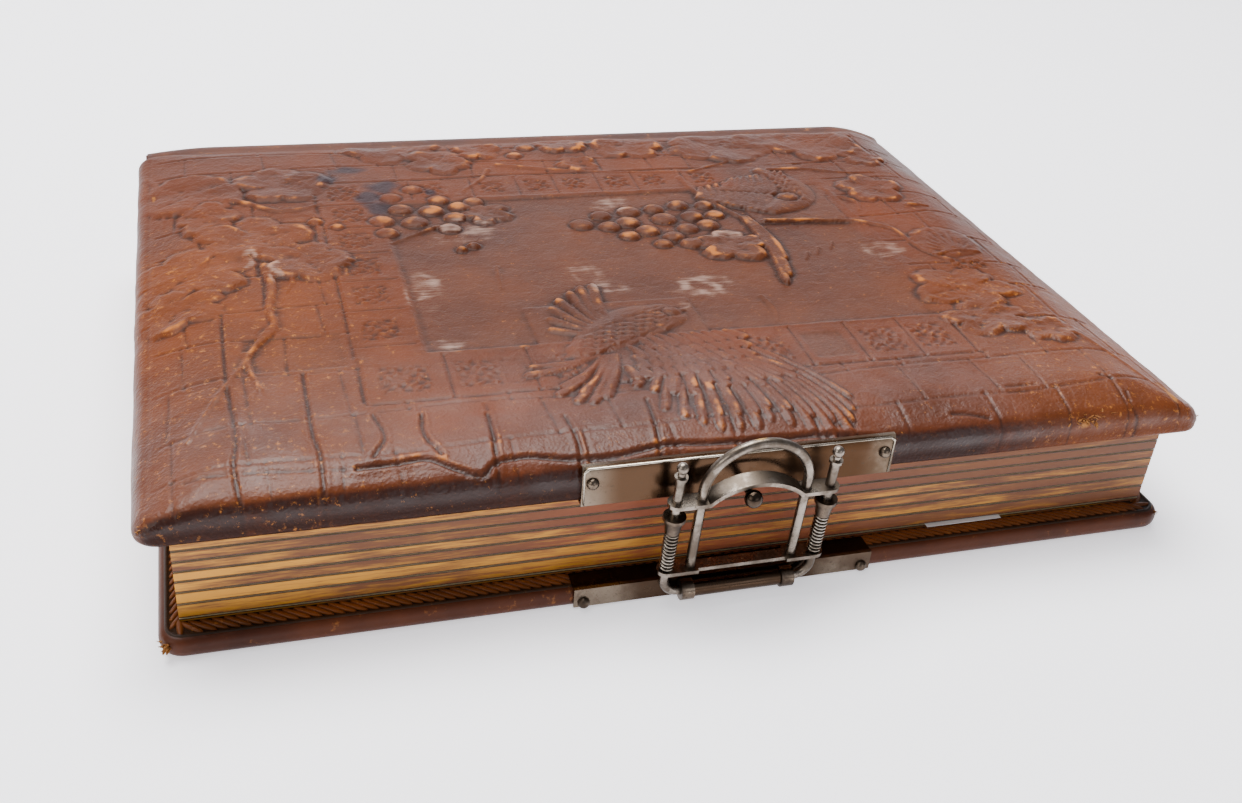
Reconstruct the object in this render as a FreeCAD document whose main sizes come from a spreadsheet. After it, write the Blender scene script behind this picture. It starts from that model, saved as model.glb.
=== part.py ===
import FreeCAD, Part
import os
import re
import Sketcher

# A padded leather photograph album with a sprung fore-edge clasp, closed and lying on its back cover.
# X runs along the fore edge, -Y is the fore edge, +Y the spine, +Z up.
# The origin is the middle of the back cover's rest face. Lengths are millimetres, angles degrees.

os.makedirs("parts", exist_ok=True)
doc = FreeCAD.newDocument("photograph_album")

SIZES = {
    # covers
    "front_length": 280.0,      # front cover along the spine
    "back_length": 275.0,       # back cover, a little shorter
    "cover_depth": 204.3,       # fore edge to the leather joint
    "corner_radius": 6.0,
    "leather": 1.0,
    "lining": 0.8,              # turned-in leather and end paper
    "back_board": 4.0,
    "front_board": 6.2,
    "padding": 5.8,
    "crown_radius": 6.6,        # rounding of the padded cover's upper edge
    "end_run": 25.0,            # the padded cover falls away over this length at its short edges
    "end_slope": 19.4,          # and at this angle
    "back_round": 2.4,          # rounding of the back cover's lower edge
    "turn_in": 13.0,            # width of the tooled border inside each cover
    # spine
    "joint_gap": 0.7,           # cover edge to the fold line of the leather joint
    "back_fold_height": 3.7,
    "front_fold_drop": 2.3,     # front fold line below the padded cover's top
    "spine_gap": 0.3,           # fold line to the stiffener
    "spine_end_gap": 0.4,       # spine strip's ends short of the fold lines
    "stiffener": 1.6,
    "spine_end_drop": 2.0,      # the spine's upper corners are cut this far under the covers' end slopes
    "spine_leather": 1.5,
    "stub_depth": 9.0,          # guard stubs behind the leaves' fold lines
    # leaves
    "leaf_gap": 0.3,
    "leaf_length": 265.0,
    "cover_overhang": 7.0,      # covers beyond the leaves at the fore edge
    "guard_width": 9.0,
    "guard_thickness": 0.6,
    "guard_clearance": 1.8,     # bare fold between stub and guard strip
    "mat": 0.6,
    "window_length": 140.0,
    "window_width": 98.0,
    "window_corner": 8.0,
    "card_length": 165.0,       # a cabinet card
    "card_width": 108.0,
    "card_clearance": 2.0,
    "slot_width": 2.0,
    "flyleaf": 0.9,
    "flyleaf_clearance": 0.4,
    "cover_clearance": 0.3,     # top leaf to the front cover's lining
    "slip": 0.15,
    "slip_length": 23.0,
    "slip_depth": 40.0,
    "slip_place": 75.0,
    "slip_proud": 1.2,
    # clasp plates
    "plate": 0.8,
    "plate_length": 82.0,
    "plate_place": 2.5,         # middle of both plates along the fore edge
    "plate_lip": 3.4,           # upper plate's rise over the rounded edge
    "plate_flange": 6.0,        # inward flanges of both plates
    "flange_thickness": 0.6,
    "pin_head": 1.6,
    "pin_shank": 0.5,
    "pin_length": 7.0,
    "pin_inset": 2.6,
    "upper_pin_height": 5.1,    # above the front board's underside
    "lower_pin_height": 2.2,
    "stud_stem": 1.0,
    "stud_ball": 2.3,
    "stud_reach": 8.2,          # plate face to the ball's middle
    "stud_height": 2.2,         # above the front cover's underside
    # clasp frame, in its own upright frame with the hinge at its origin
    "frame_place": 4.2,
    "lean": 6.0,
    "hinge_height": 3.7,
    "hinge_standoff": 1.7,      # hinge axis in front of the lower plate's face
    "rod_radius": 1.25,
    "rod_spacing": 40.2,
    "rod_bend": 4.5,
    "rod_end": 3.0,             # rod ends stop this far from the barrel's middle
    "rod_height": 38.2,
    "finial_flange": 0.8,
    "finial_lift": 0.8,         # the ball's middle above its flange, as a share of its radius
    "finial_neck": 1.3,
    "finial_ball": 1.5,
    "running_clearance": 0.05,
    "barrel_length": 24.0,
    "barrel_radius": 2.2,
    "knuckle_length": 3.4,
    "knuckle_radius": 2.8,
    "strip": 1.1,
    "strip_width": 4.8,
    "eye_margin": 2.4,
    "strap_height": 7.55,
    "strap_waist": 3.2,
    "bar_height": 29.85,
    "arch_span": 24.0,
    "arch_rise": 4.95,
    "bail_radius": 1.3,
    "bail_spacing": 27.4,
    "bail_height": 33.0,        # springing line of the bail's round top
    "bail_tail": 0.5,           # riveted ends below the strap
    "spring_wire": 0.55,
    "spring_play": 0.095,       # coil's inside to the rod
    "spring_length": 12.3,
    "spring_turns": 10.5,
    "spring_clearance": 0.05,
    "cup_height": 4.2,
    "cup_radius": 2.4,
    "cup_foot": 1.9,
    "collar_flange": 1.1,
    "collar_radius": 2.9,
    "shoulder_height": 0.7,
    "shoulder_radius": 1.7,
    "shoulder_clearance": 0.05,
}
LEAF_THICKNESS = (3.9, 3.2, 2.9, 2.6, 2.6, 2.8, 2.7, 2.8)    # bottom leaf first

for number, thickness in enumerate(LEAF_THICKNESS, 1):
    SIZES[f"leaf_{number}_thickness"] = thickness

sheet = doc.addObject("Spreadsheet::Sheet", "Sizes")
for row, (name, number) in enumerate(SIZES.items(), 1):
    sheet.set(f"A{row}", name)
    sheet.set(f"B{row}", str(number))
    sheet.setAlias(f"B{row}", name)
doc.recompute()

# Levels and lines that several pieces share, as formulas of the sheet's values.
FORE_EDGE = "(-cover_depth / 2)"
REAR_EDGE = "(cover_depth / 2)"
BACK_FOLD = f"({REAR_EDGE} + joint_gap)"
LEAF_FOLD = f"({BACK_FOLD} - stub_depth)"
LEAF_FRONT = f"({FORE_EDGE} + cover_overhang)"
LEAF_REAR = f"({LEAF_FOLD} - guard_width)"
LEAF_DEPTH = f"({LEAF_REAR} - {LEAF_FRONT})"
LEAF_MIDDLE = f"(({LEAF_REAR} + {LEAF_FRONT}) / 2)"
BACK_TOP = "(leather + back_board + lining)"
STACK_FOOT = f"({BACK_TOP} + flyleaf + flyleaf_clearance)"
STACK_HEIGHT = "(" + " + ".join(f"leaf_{n}_thickness" for n in range(1, len(LEAF_THICKNESS) + 1))
STACK_HEIGHT += f" + {len(LEAF_THICKNESS) - 1} * leaf_gap)"
FRONT_FOOT = f"({STACK_FOOT} + {STACK_HEIGHT} + cover_clearance)"
FRONT_BOARD_FOOT = f"({FRONT_FOOT} + lining)"
PADDING_FOOT = f"({FRONT_BOARD_FOOT} + front_board)"
FRONT_TOP = f"({PADDING_FOOT} + padding + leather)"
PLATE_FACE = f"({FORE_EDGE} - plate)"
HINGE_LINE = f"({PLATE_FACE} - hinge_standoff)"


def formula(text):
    """The sheet's reference for every size named in the text."""
    return re.sub(r"[a-z_]+[a-z0-9_]*", lambda found: "Sizes." + found.group(), str(text))


def bind(item, **paths):
    for path, text in paths.items():
        item.setExpression(path.replace("__", "."), formula(text))


def place(item, x=0, y=0, z=0):
    bind(item, Placement__Base__x=x, Placement__Base__y=y, Placement__Base__z=z)
    return item


def box(name, corner, size):
    item = doc.addObject("Part::Box", name)
    bind(item, Length=size[0], Width=size[1], Height=size[2])
    return place(item, *corner)


AXES = {"x": FreeCAD.Vector(1, 0, 0), "y": FreeCAD.Vector(0, 1, 0), "z": FreeCAD.Vector(0, 0, 1)}


def cylinder(name, foot, radius, height, along="z"):
    item = doc.addObject("Part::Cylinder", name)
    bind(item, Radius=radius, Height=height)
    item.Placement.Rotation = FreeCAD.Rotation(AXES["z"], AXES[along])
    return place(item, *foot)


def sphere(name, middle, radius):
    item = doc.addObject("Part::Sphere", name)
    bind(item, Radius=radius)
    return place(item, *middle)


def cut(name, base, *tools):
    """The base less each tool in turn; the last cut carries the name."""
    for count, tool in enumerate(tools, 1):
        item = doc.addObject("Part::Cut", name if count == len(tools) else f"{name}_cut_{count}")
        item.Base = base
        item.Tool = tool
        base = item
    return base


def fuse(name, *pieces):
    item = doc.addObject("Part::MultiFuse", name)
    item.Shapes = list(pieces)
    return item


def common(name, base, tool):
    item = doc.addObject("Part::Common", name)
    item.Base = base
    item.Tool = tool
    return item


def mirrored(name, source):
    """The source's mirror image across X = 0."""
    item = doc.addObject("Part::Mirroring", name)
    item.Source = source
    item.Normal = AXES["x"]
    return item


def turned(item, axis, angle):
    """Turns a placed item about its own corner by an angle from the sheet."""
    item.Placement.Rotation = FreeCAD.Rotation(AXES[axis], 1)
    bind(item, Placement__Rotation__Angle=angle)
    return item


def solids(name, *pieces):
    item = doc.addObject("Part::Compound", name)
    item.Links = list(pieces)
    return item


def sketch_on(body, role, name):
    sketch = body.newObject("Sketcher::SketchObject", name)
    plane = next(part for part in body.Origin.OriginFeatures if part.Role == role)
    sketch.AttachmentSupport = [(plane, "")]
    sketch.MapMode = "FlatFace"
    return sketch


def rectangle(sketch, width, height):
    """A rectangle from the sketch's origin, its two sizes bound to the sheet."""
    corners = [FreeCAD.Vector(*at, 0) for at in ((0, 0), (10, 0), (10, 10), (0, 10))]
    sketch.addGeometry([Part.LineSegment(corners[n], corners[(n + 1) % 4]) for n in range(4)])
    for n in range(4):
        sketch.addConstraint(Sketcher.Constraint("Coincident", n, 2, (n + 1) % 4, 1))
    for n, way in enumerate(("Horizontal", "Vertical", "Horizontal", "Vertical")):
        sketch.addConstraint(Sketcher.Constraint(way, n))
    sketch.addConstraint(Sketcher.Constraint("Coincident", 0, 1, -1, 1))
    across = sketch.addConstraint(Sketcher.Constraint("DistanceX", 0, 1, 0, 2, 10))
    upward = sketch.addConstraint(Sketcher.Constraint("DistanceY", 1, 1, 1, 2, 10))
    sketch.setExpression(f"Constraints[{across}]", formula(width))
    sketch.setExpression(f"Constraints[{upward}]", formula(height))


def fillet(body, name, radius, wanted):
    """Rounds the body's edges that the test accepts."""
    doc.recompute()
    base = body.Tip
    names = [f"Edge{n}" for n, edge in enumerate(base.Shape.Edges, 1) if wanted(edge)]
    item = body.newObject("PartDesign::Fillet", name)
    item.Base = (base, names)
    bind(item, Radius=radius)
    body.Tip = item


def upright(edge):
    return edge.BoundBox.ZLength > 10 * (edge.BoundBox.XLength + edge.BoundBox.YLength)


def slab(name, corner, size, radius=None, top=None, foot=None):
    """A flat body with rounded upright corners and, if asked, a rounded top or foot."""
    body = doc.addObject("PartDesign::Body", name)
    sketch = sketch_on(body, "XY_Plane", name + "_outline")
    rectangle(sketch, size[0], size[1])
    pad = body.newObject("PartDesign::Pad", name + "_pad")
    pad.Profile = sketch
    bind(pad, Length=size[2])
    body.Tip = pad
    if radius:
        fillet(body, name + "_corners", radius, upright)
    height = pad.Length.Value
    if top:
        fillet(body, name + "_crown", top, lambda edge: edge.BoundBox.ZMin > height - 0.01)
    if foot:
        fillet(body, name + "_foot", foot, lambda edge: edge.BoundBox.ZMax < 0.01)
    return place(body, *corner)


def bar_section(name, points, length):
    """A body whose outline in the Y-Z plane is padded along X by the length.

    Each point is a pair of formulas for Y and Z, and the body starts at X = 0."""
    body = doc.addObject("PartDesign::Body", name)
    sketch = sketch_on(body, "YZ_Plane", name + "_section")
    count = len(points)
    # A rough start with the same turns, which the constraints then pull to size.
    doc.recompute()
    start = [FreeCAD.Vector(measure(y), measure(z), 0) for y, z in points]
    sketch.addGeometry([Part.LineSegment(start[n], start[(n + 1) % count]) for n in range(count)])
    for n in range(count):
        sketch.addConstraint(Sketcher.Constraint("Coincident", n, 2, (n + 1) % count, 1))
    for n, (y, z) in enumerate(points):
        across = sketch.addConstraint(Sketcher.Constraint("DistanceX", -1, 1, n, 1, start[n].x))
        upward = sketch.addConstraint(Sketcher.Constraint("DistanceY", -1, 1, n, 1, start[n].y))
        sketch.setExpression(f"Constraints[{across}]", formula(y))
        sketch.setExpression(f"Constraints[{upward}]", formula(z))
    pad = body.newObject("PartDesign::Pad", name + "_pad")
    pad.Profile = sketch
    bind(pad, Length=length)
    body.Tip = pad
    return body


def measure(text):
    """The present number of a formula, read from a spare cell of the sheet."""
    sheet.set("D1", f"={text}")
    sheet.recompute()
    return float(sheet.get("D1"))


KEPT = []


def keep(*items):
    for item in items:
        item.Label = item.Name
        KEPT.append(item)


# --- Back cover: board, leather over it, tooled border and end paper inside ---
BACK_X = "(-back_length / 2)"
back_board_blank = slab(
    "back_board_blank",
    (f"{BACK_X} + leather", f"{FORE_EDGE} + leather", "leather"),
    ("back_length - 2 * leather", "cover_depth - 2 * leather", "back_board"),
    "corner_radius - leather",
)
back_outer = slab(
    "back_outer", (BACK_X, FORE_EDGE, 0), ("back_length", "cover_depth", BACK_TOP), "corner_radius", foot="back_round"
)
back_inside = slab(
    "back_inside",
    (f"{BACK_X} + leather", f"{FORE_EDGE} + leather", "leather"),
    ("back_length - 2 * leather", "cover_depth - 2 * leather", f"{BACK_TOP} - leather"),
    "corner_radius - leather",
)


def inner_lining(side, length, foot):
    """The tooled leather border and the end paper inside it, flush on a board's inner face."""
    low_x = f"(-{length} / 2 + leather)"
    whole = slab(
        f"{side}_lining_whole",
        (low_x, f"{FORE_EDGE} + leather", foot),
        (f"{length} - 2 * leather", "cover_depth - 2 * leather", "lining"),
        "corner_radius - leather",
    )
    window = box(
        f"{side}_lining_window",
        (f"{low_x} + turn_in", f"{FORE_EDGE} + leather + turn_in", foot),
        (f"{length} - 2 * leather - 2 * turn_in", "cover_depth - 2 * leather - 2 * turn_in", "lining"),
    )
    paper = box(
        f"{side}_endpaper",
        (f"{low_x} + turn_in", f"{FORE_EDGE} + leather + turn_in", foot),
        (f"{length} - 2 * leather - 2 * turn_in", "cover_depth - 2 * leather - 2 * turn_in", "lining"),
    )
    keep(cut(f"{side}_turn_in", whole, window), paper)


inner_lining("back", "back_length", "leather + back_board")
flyleaf = box(
    "rear_flyleaf",
    ("-leaf_length / 2", LEAF_FRONT, BACK_TOP),
    ("leaf_length", LEAF_DEPTH, "flyleaf"),
)
slip = box(
    "paper_slip",
    ("slip_place - slip_length / 2", f"{LEAF_FRONT} - slip_proud", f"{BACK_TOP} + flyleaf"),
    ("slip_length", "slip_depth", "slip"),
)
keep(flyleaf, slip)

# --- Spine: leather strip, stiffener and the block of guard stubs that the leaves fold on ---
FRONT_FOLD_HEIGHT = f"({FRONT_TOP} - front_fold_drop)"
SPINE_FOOT = "(back_fold_height + spine_end_gap)"
SPINE_HEIGHT = f"({FRONT_FOLD_HEIGHT} - spine_end_gap - {SPINE_FOOT})"
STIFFENER_FACE = f"({BACK_FOLD} + spine_gap)"


def falling_ends(name, item, under):
    """The item less all that lies above the two end slopes; under is its depth below the cover's surface."""
    corner = ("front_length / 2 - end_run", f"{FORE_EDGE} - leather", f"{FRONT_TOP} - {under}")
    above = turned(
        box(name + "_above_right", corner, ("1.2 * end_run", "cover_depth + 2 * corner_radius", "end_run")), "y", "end_slope"
    )
    return cut(name, item, above, mirrored(name + "_above_left", above))


stiffener_blank = box(
    "spine_stiffener_blank",
    (f"{BACK_X} + leather", STIFFENER_FACE, SPINE_FOOT),
    ("back_length - 2 * leather", "stiffener", SPINE_HEIGHT),
)
stiffener = falling_ends("spine_stiffener", stiffener_blank, "spine_end_drop")
spine_leather_blank = box(
    "spine_leather_blank",
    (BACK_X, f"{STIFFENER_FACE} + stiffener", SPINE_FOOT),
    ("back_length", "spine_leather", SPINE_HEIGHT),
)
spine_leather = falling_ends("spine_leather", spine_leather_blank, "spine_end_drop")
stubs = box(
    "guard_stubs",
    ("-leaf_length / 2", LEAF_FOLD, STACK_FOOT),
    ("leaf_length", "stub_depth + spine_gap", STACK_HEIGHT),
)
keep(stiffener, spine_leather, stubs)

# --- Leaves: a card core with a pocket, a windowed mat on each face and a linen guard ---
window_tool = slab(
    "window_tool",
    ("-window_length / 2", f"{LEAF_MIDDLE} - window_width / 2", 0),
    ("window_length", "window_width", FRONT_TOP),
    "window_corner",
)
pocket_tool = box(
    "pocket_tool",
    ("-(card_length + card_clearance) / 2", f"{LEAF_MIDDLE} - (card_width + card_clearance) / 2", 0),
    ("card_length + card_clearance", "card_width + card_clearance", FRONT_TOP),
)
slot_tool = box(
    "slot_tool",
    ("-(card_length + card_clearance) / 2", f"{LEAF_MIDDLE} - (card_width + card_clearance) / 2", 0),
    ("slot_width", "card_width + card_clearance", FRONT_TOP),
)
leaf_foot = STACK_FOOT
for number in range(1, len(LEAF_THICKNESS) + 1):
    thickness = f"leaf_{number}_thickness"
    levels = {
        "back_mat": (leaf_foot, "mat"),
        "core": (f"{leaf_foot} + mat", f"{thickness} - 2 * mat"),
        "front_mat": (f"{leaf_foot} + {thickness} - mat", "mat"),
    }
    for layer, (foot, depth) in levels.items():
        sheet_box = box(
            f"leaf_{number}_{layer}_sheet", ("-leaf_length / 2", LEAF_FRONT, foot), ("leaf_length", LEAF_DEPTH, depth)
        )
        tools = [pocket_tool] if layer == "core" else [window_tool, slot_tool]
        keep(cut(f"leaf_{number}_{layer}", sheet_box, *tools))
    guard = box(
        f"leaf_{number}_guard",
        ("-leaf_length / 2", LEAF_REAR, f"{leaf_foot} + ({thickness} - guard_thickness) / 2"),
        ("leaf_length", "guard_width - guard_clearance", "guard_thickness"),
    )
    keep(guard)
    leaf_foot = f"({leaf_foot} + {thickness} + leaf_gap)"

# --- Front cover: board, padding, one leather skin, tooled border and end paper inside ---
FRONT_X = "(-front_length / 2)"
INNER_FRONT = (f"{FRONT_X} + leather", f"{FORE_EDGE} + leather")
INNER_SPREAD = ("front_length - 2 * leather", "cover_depth - 2 * leather")


front_board_blank = slab(
    "front_board_blank", (*INNER_FRONT, FRONT_BOARD_FOOT), (*INNER_SPREAD, "front_board"), "corner_radius - leather"
)
padding_blank = slab(
    "front_padding_blank",
    (*INNER_FRONT, PADDING_FOOT),
    (*INNER_SPREAD, "padding"),
    "corner_radius - leather",
    top="crown_radius - leather",
)
front_outer = slab(
    "front_outer",
    (FRONT_X, FORE_EDGE, FRONT_FOOT),
    ("front_length", "cover_depth", f"{FRONT_TOP} - {FRONT_FOOT}"),
    "corner_radius",
    top="crown_radius",
)
front_inside = slab(
    "front_inside",
    (*INNER_FRONT, FRONT_FOOT),
    (*INNER_SPREAD, "lining + front_board + padding"),
    "corner_radius - leather",
    top="crown_radius - leather",
)
front_outer = falling_ends("front_outer_sloped", front_outer, "0")
front_inside = falling_ends("front_inside_sloped", front_inside, "leather")
front_board_blank = falling_ends("front_board_sloped", front_board_blank, "leather")
inner_lining("front", "front_length", FRONT_FOOT)
keep(falling_ends("front_padding", padding_blank, "leather"))


def pins(side, height):
    """Two round-head pins through a clasp plate into the board's edge."""
    pieces = []
    for hand, sign in (("left", "-"), ("right", "+")):
        x = f"plate_place {sign} (plate_length / 2 - pin_inset)"
        shank = cylinder(f"{side}_pin_{hand}_shank", (x, PLATE_FACE, height), "pin_shank", "pin_length", "y")
        ball = sphere(f"{side}_pin_{hand}_ball", (x, PLATE_FACE, height), "pin_head")
        behind = box(
            f"{side}_pin_{hand}_behind",
            (f"{x} - 2 * pin_head", PLATE_FACE, f"{height} - 2 * pin_head"),
            ("4 * pin_head", "2 * pin_head", "4 * pin_head"),
        )
        pieces.append(fuse(f"{side}_pin_{hand}", cut(f"{side}_pin_{hand}_head", ball, behind), shank))
    return solids(f"{side}_plate_pins", *pieces)


upper_pins = pins("upper", f"{FRONT_BOARD_FOOT} + upper_pin_height")
lower_pins = pins("lower", "lower_pin_height")
keep(cut("front_board", front_board_blank, upper_pins))
keep(cut("front_leather", front_outer, front_inside, upper_pins))
keep(cut("back_board", back_board_blank, lower_pins))
keep(cut("back_leather", back_outer, back_inside, lower_pins))
keep(upper_pins, lower_pins)

# --- Clasp plates: sheet metal wrapped over each cover's fore edge ---
PLATE_X = "(plate_place - plate_length / 2)"
FLANGE_END = f"({FORE_EDGE} + plate_flange)"
CROWN_FOOT = f"({FRONT_TOP} - crown_radius)"
upper_strip = bar_section(
    "upper_plate_strip",
    [
        (PLATE_FACE, f"{FRONT_FOOT} - flange_thickness"),
        (FLANGE_END, f"{FRONT_FOOT} - flange_thickness"),
        (FLANGE_END, FRONT_FOOT),
        (FORE_EDGE, FRONT_FOOT),
        (FORE_EDGE, CROWN_FOOT),
        (PLATE_FACE, CROWN_FOOT),
    ],
    "plate_length",
)
place(upper_strip, PLATE_X, 0, 0)
crown_middle = (PLATE_X, f"{FORE_EDGE} + crown_radius", CROWN_FOOT)
crown_tube = cut(
    "upper_plate_tube",
    cylinder("upper_plate_tube_outer", crown_middle, "crown_radius + plate", "plate_length", "x"),
    cylinder("upper_plate_tube_inner", crown_middle, "crown_radius", "plate_length", "x"),
)
lip_window = box(
    "upper_plate_lip_window", (PLATE_X, PLATE_FACE, CROWN_FOOT), ("plate_length", "crown_radius + plate", "plate_lip")
)
upper_plate = cut(
    "upper_clasp_plate",
    fuse("upper_plate_whole", upper_strip, common("upper_plate_lip", crown_tube, lip_window)),
    upper_pins,
)
keep(upper_plate)

hinge_at = ("frame_place", HINGE_LINE, "hinge_height")
lower_strip = bar_section(
    "lower_plate_strip",
    [
        (PLATE_FACE, "plate"),
        (FORE_EDGE, "plate"),
        (FORE_EDGE, BACK_TOP),
        (FLANGE_END, BACK_TOP),
        (FLANGE_END, f"{BACK_TOP} + flange_thickness"),
        (PLATE_FACE, f"{BACK_TOP} + flange_thickness"),
    ],
    "plate_length",
)
place(lower_strip, PLATE_X, 0, 0)
barrel = cylinder(
    "lower_plate_barrel",
    ("frame_place - barrel_length / 2", HINGE_LINE, "hinge_height"),
    "barrel_radius",
    "barrel_length",
    "x",
)
bore = cylinder(
    "lower_plate_bore",
    ("frame_place - barrel_length / 2", HINGE_LINE, "hinge_height"),
    "rod_radius + running_clearance",
    "barrel_length",
    "x",
)
behind_leather = box(
    "lower_plate_behind",
    (PLATE_X, FORE_EDGE, 0),
    ("plate_length", "cover_depth", BACK_TOP),
)
barrel_front = cut("lower_plate_barrel_front", barrel, behind_leather)
lower_plate = cut("lower_clasp_plate", fuse("lower_plate_whole", lower_strip, barrel_front), bore, lower_pins)
keep(lower_plate)

knuckles = []
for hand, start in (
    ("left", "frame_place - barrel_length / 2 - knuckle_length"),
    ("right", "frame_place + barrel_length / 2"),
):
    ring = cylinder(
        f"knuckle_{hand}_ring", (start, HINGE_LINE, "hinge_height"), "knuckle_radius", "knuckle_length", "x"
    )
    hole = cylinder(
        f"knuckle_{hand}_hole",
        (start, HINGE_LINE, "hinge_height"),
        "rod_radius + running_clearance",
        "knuckle_length",
        "x",
    )
    back = box(
        f"knuckle_{hand}_back",
        (start, PLATE_FACE, "hinge_height - 2 * knuckle_radius"),
        ("knuckle_length", "2 * knuckle_radius", "4 * knuckle_radius"),
    )
    knuckles.append(cut(f"knuckle_{hand}", ring, hole, back))
keep(solids("hinge_knuckles", *knuckles))

# --- Ball stud, brazed to the upper plate's face ---
stud_at = ("plate_place", PLATE_FACE, f"{FRONT_FOOT} + stud_height")
stem = cylinder(
    "stud_stem_bar", (stud_at[0], f"{PLATE_FACE} - stud_reach", stud_at[2]), "stud_stem", "stud_reach", "y"
)
ball = sphere("stud_ball_end", (stud_at[0], f"{PLATE_FACE} - stud_reach", stud_at[2]), "stud_ball")
keep(fuse("ball_stud", stem, ball))


# --- Swinging clasp: pieces are made upright about the hinge, then leaned out together ---
def lean(item):
    """Stands an upright clasp piece on the hinge line, leaned out by the lean angle."""
    return place(turned(item, "x", "lean"), *hinge_at)


def half_ring(name, middle, radius, wire, angle, turn):
    """A bent stretch of round wire in the X-Z plane."""
    item = doc.addObject("Part::Torus", name)
    bind(item, Radius1=radius, Radius2=wire)
    item.Angle3 = angle
    item.Placement.Rotation = FreeCAD.Rotation(AXES["y"], turn) * FreeCAD.Rotation(AXES["x"], 90)
    return place(item, *middle)


for hand, sign, turn in (("left", "-", 90), ("right", "", 0)):
    x = f"({sign}rod_spacing / 2)"
    inward = f"({x} - ({sign}rod_bend))"
    run = "rod_spacing / 2 - rod_bend - rod_end"
    leg_foot = "-(rod_spacing / 2 - rod_bend)" if sign else "rod_end"
    name = f"rod_{hand}"
    finial_foot = "rod_height + finial_flange + finial_neck"
    rod = fuse(
        name,
        cylinder(f"{name}_leg", (leg_foot, 0, 0), "rod_radius", run, "x"),
        half_ring(f"{name}_bend", (inward, 0, "rod_bend"), "rod_bend", "rod_radius", 90, turn + 90),
        cylinder(f"{name}_shaft", (x, 0, "rod_bend"), "rod_radius", "rod_height - rod_bend"),
        cylinder(
            f"{name}_shoulder",
            (x, 0, "strap_height - shoulder_clearance - shoulder_height"),
            "shoulder_radius",
            "shoulder_height",
        ),
        cylinder(f"{name}_flange", (x, 0, "rod_height"), "shoulder_radius", "finial_flange"),
        cylinder(f"{name}_neck", (x, 0, "rod_height"), "stud_stem", "finial_flange + finial_neck"),
        sphere(f"{name}_finial", (x, 0, f"{finial_foot} + finial_ball * finial_lift"), "finial_ball"),
    )
    keep(lean(rod))

SPRING_FOOT = "(strap_height + strip + spring_clearance)"
CUP_FOOT = f"({SPRING_FOOT} + spring_length + spring_clearance)"
COIL_RADIUS = "(rod_radius + spring_play + spring_wire / 2)"
collars = []
for hand, sign in (("left", "-"), ("right", "")):
    x = f"({sign}rod_spacing / 2)"
    cup = doc.addObject("Part::Cone", f"collar_{hand}_cup")
    bind(cup, Radius1="cup_foot", Radius2="cup_radius", Height="cup_height")
    place(cup, x, 0, CUP_FOOT)
    flange = cylinder(
        f"collar_{hand}_flange", (x, 0, f"{CUP_FOOT} + cup_height"), "collar_radius", "collar_flange"
    )
    hole = cylinder(f"collar_{hand}_hole", (x, 0, CUP_FOOT), "rod_radius", "cup_height + collar_flange")
    collars.append(cut(f"collar_{hand}", fuse(f"collar_{hand}_solid", cup, flange), hole))

    helix = doc.addObject("Part::Helix", f"spring_{hand}_path")
    coil_height = "(spring_length - spring_wire)"
    bind(helix, Radius=COIL_RADIUS, Height=coil_height, Pitch=f"{coil_height} / spring_turns")
    wire = doc.addObject("Part::Circle", f"spring_{hand}_wire")
    bind(wire, Radius="spring_wire / 2")
    wire.Placement.Rotation = FreeCAD.Rotation(AXES["x"], 90)
    place(wire, COIL_RADIUS, 0, 0)
    coil = doc.addObject("Part::Sweep", f"spring_{hand}_coil")
    coil.Sections = [wire]
    coil.Spine = (helix, [])
    coil.Solid = True
    coil.Frenet = True
    place(coil, x, 0, f"{SPRING_FOOT} + spring_wire / 2")
    keep(lean(solids(f"spring_{hand}", coil)))
keep(lean(solids("spring_collars", *collars)))

# --- Sliding frame: bail wire, arched catch bar and lower strap, riveted into one piece ---
bail = fuse(
    "bail",
    *(
        cylinder(
            f"bail_leg_{hand}",
            (f"({sign}bail_spacing / 2)", 0, "strap_height - bail_tail"),
            "bail_radius",
            "bail_height + bail_tail - strap_height",
        )
        for hand, sign in (("left", "-"), ("right", ""))
    ),
    half_ring("bail_arch", (0, 0, "bail_height"), "bail_spacing / 2", "bail_radius", 180, 0),
)
keep(lean(bail))


def strip_piece(name, height, *middle):
    """A flat strip with a round eye on each rod and the bail's rivet holes, less or plus its middle."""
    ends = []
    tools = []
    for hand, sign in (("left", "-"), ("right", "")):
        x = f"({sign}rod_spacing / 2)"
        ends.append(cylinder(f"{name}_eye_{hand}", (x, 0, height), "eye_margin", "strip"))
        start = x if sign else "arch_span / 2"
        ends.append(
            box(
                f"{name}_arm_{hand}",
                (start, "-strip_width / 2", height),
                ("(rod_spacing - arch_span) / 2", "strip_width", "strip"),
            )
        )
        tools.append(
            cylinder(f"{name}_bore_{hand}", (x, 0, height), "rod_radius + running_clearance", "strip")
        )
        tools.append(
            cylinder(f"{name}_rivet_{hand}", (f"({sign}bail_spacing / 2)", 0, height), "bail_radius", "strip")
        )
    keep(lean(cut(name, fuse(f"{name}_whole", *ends, *middle), *tools)))


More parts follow.
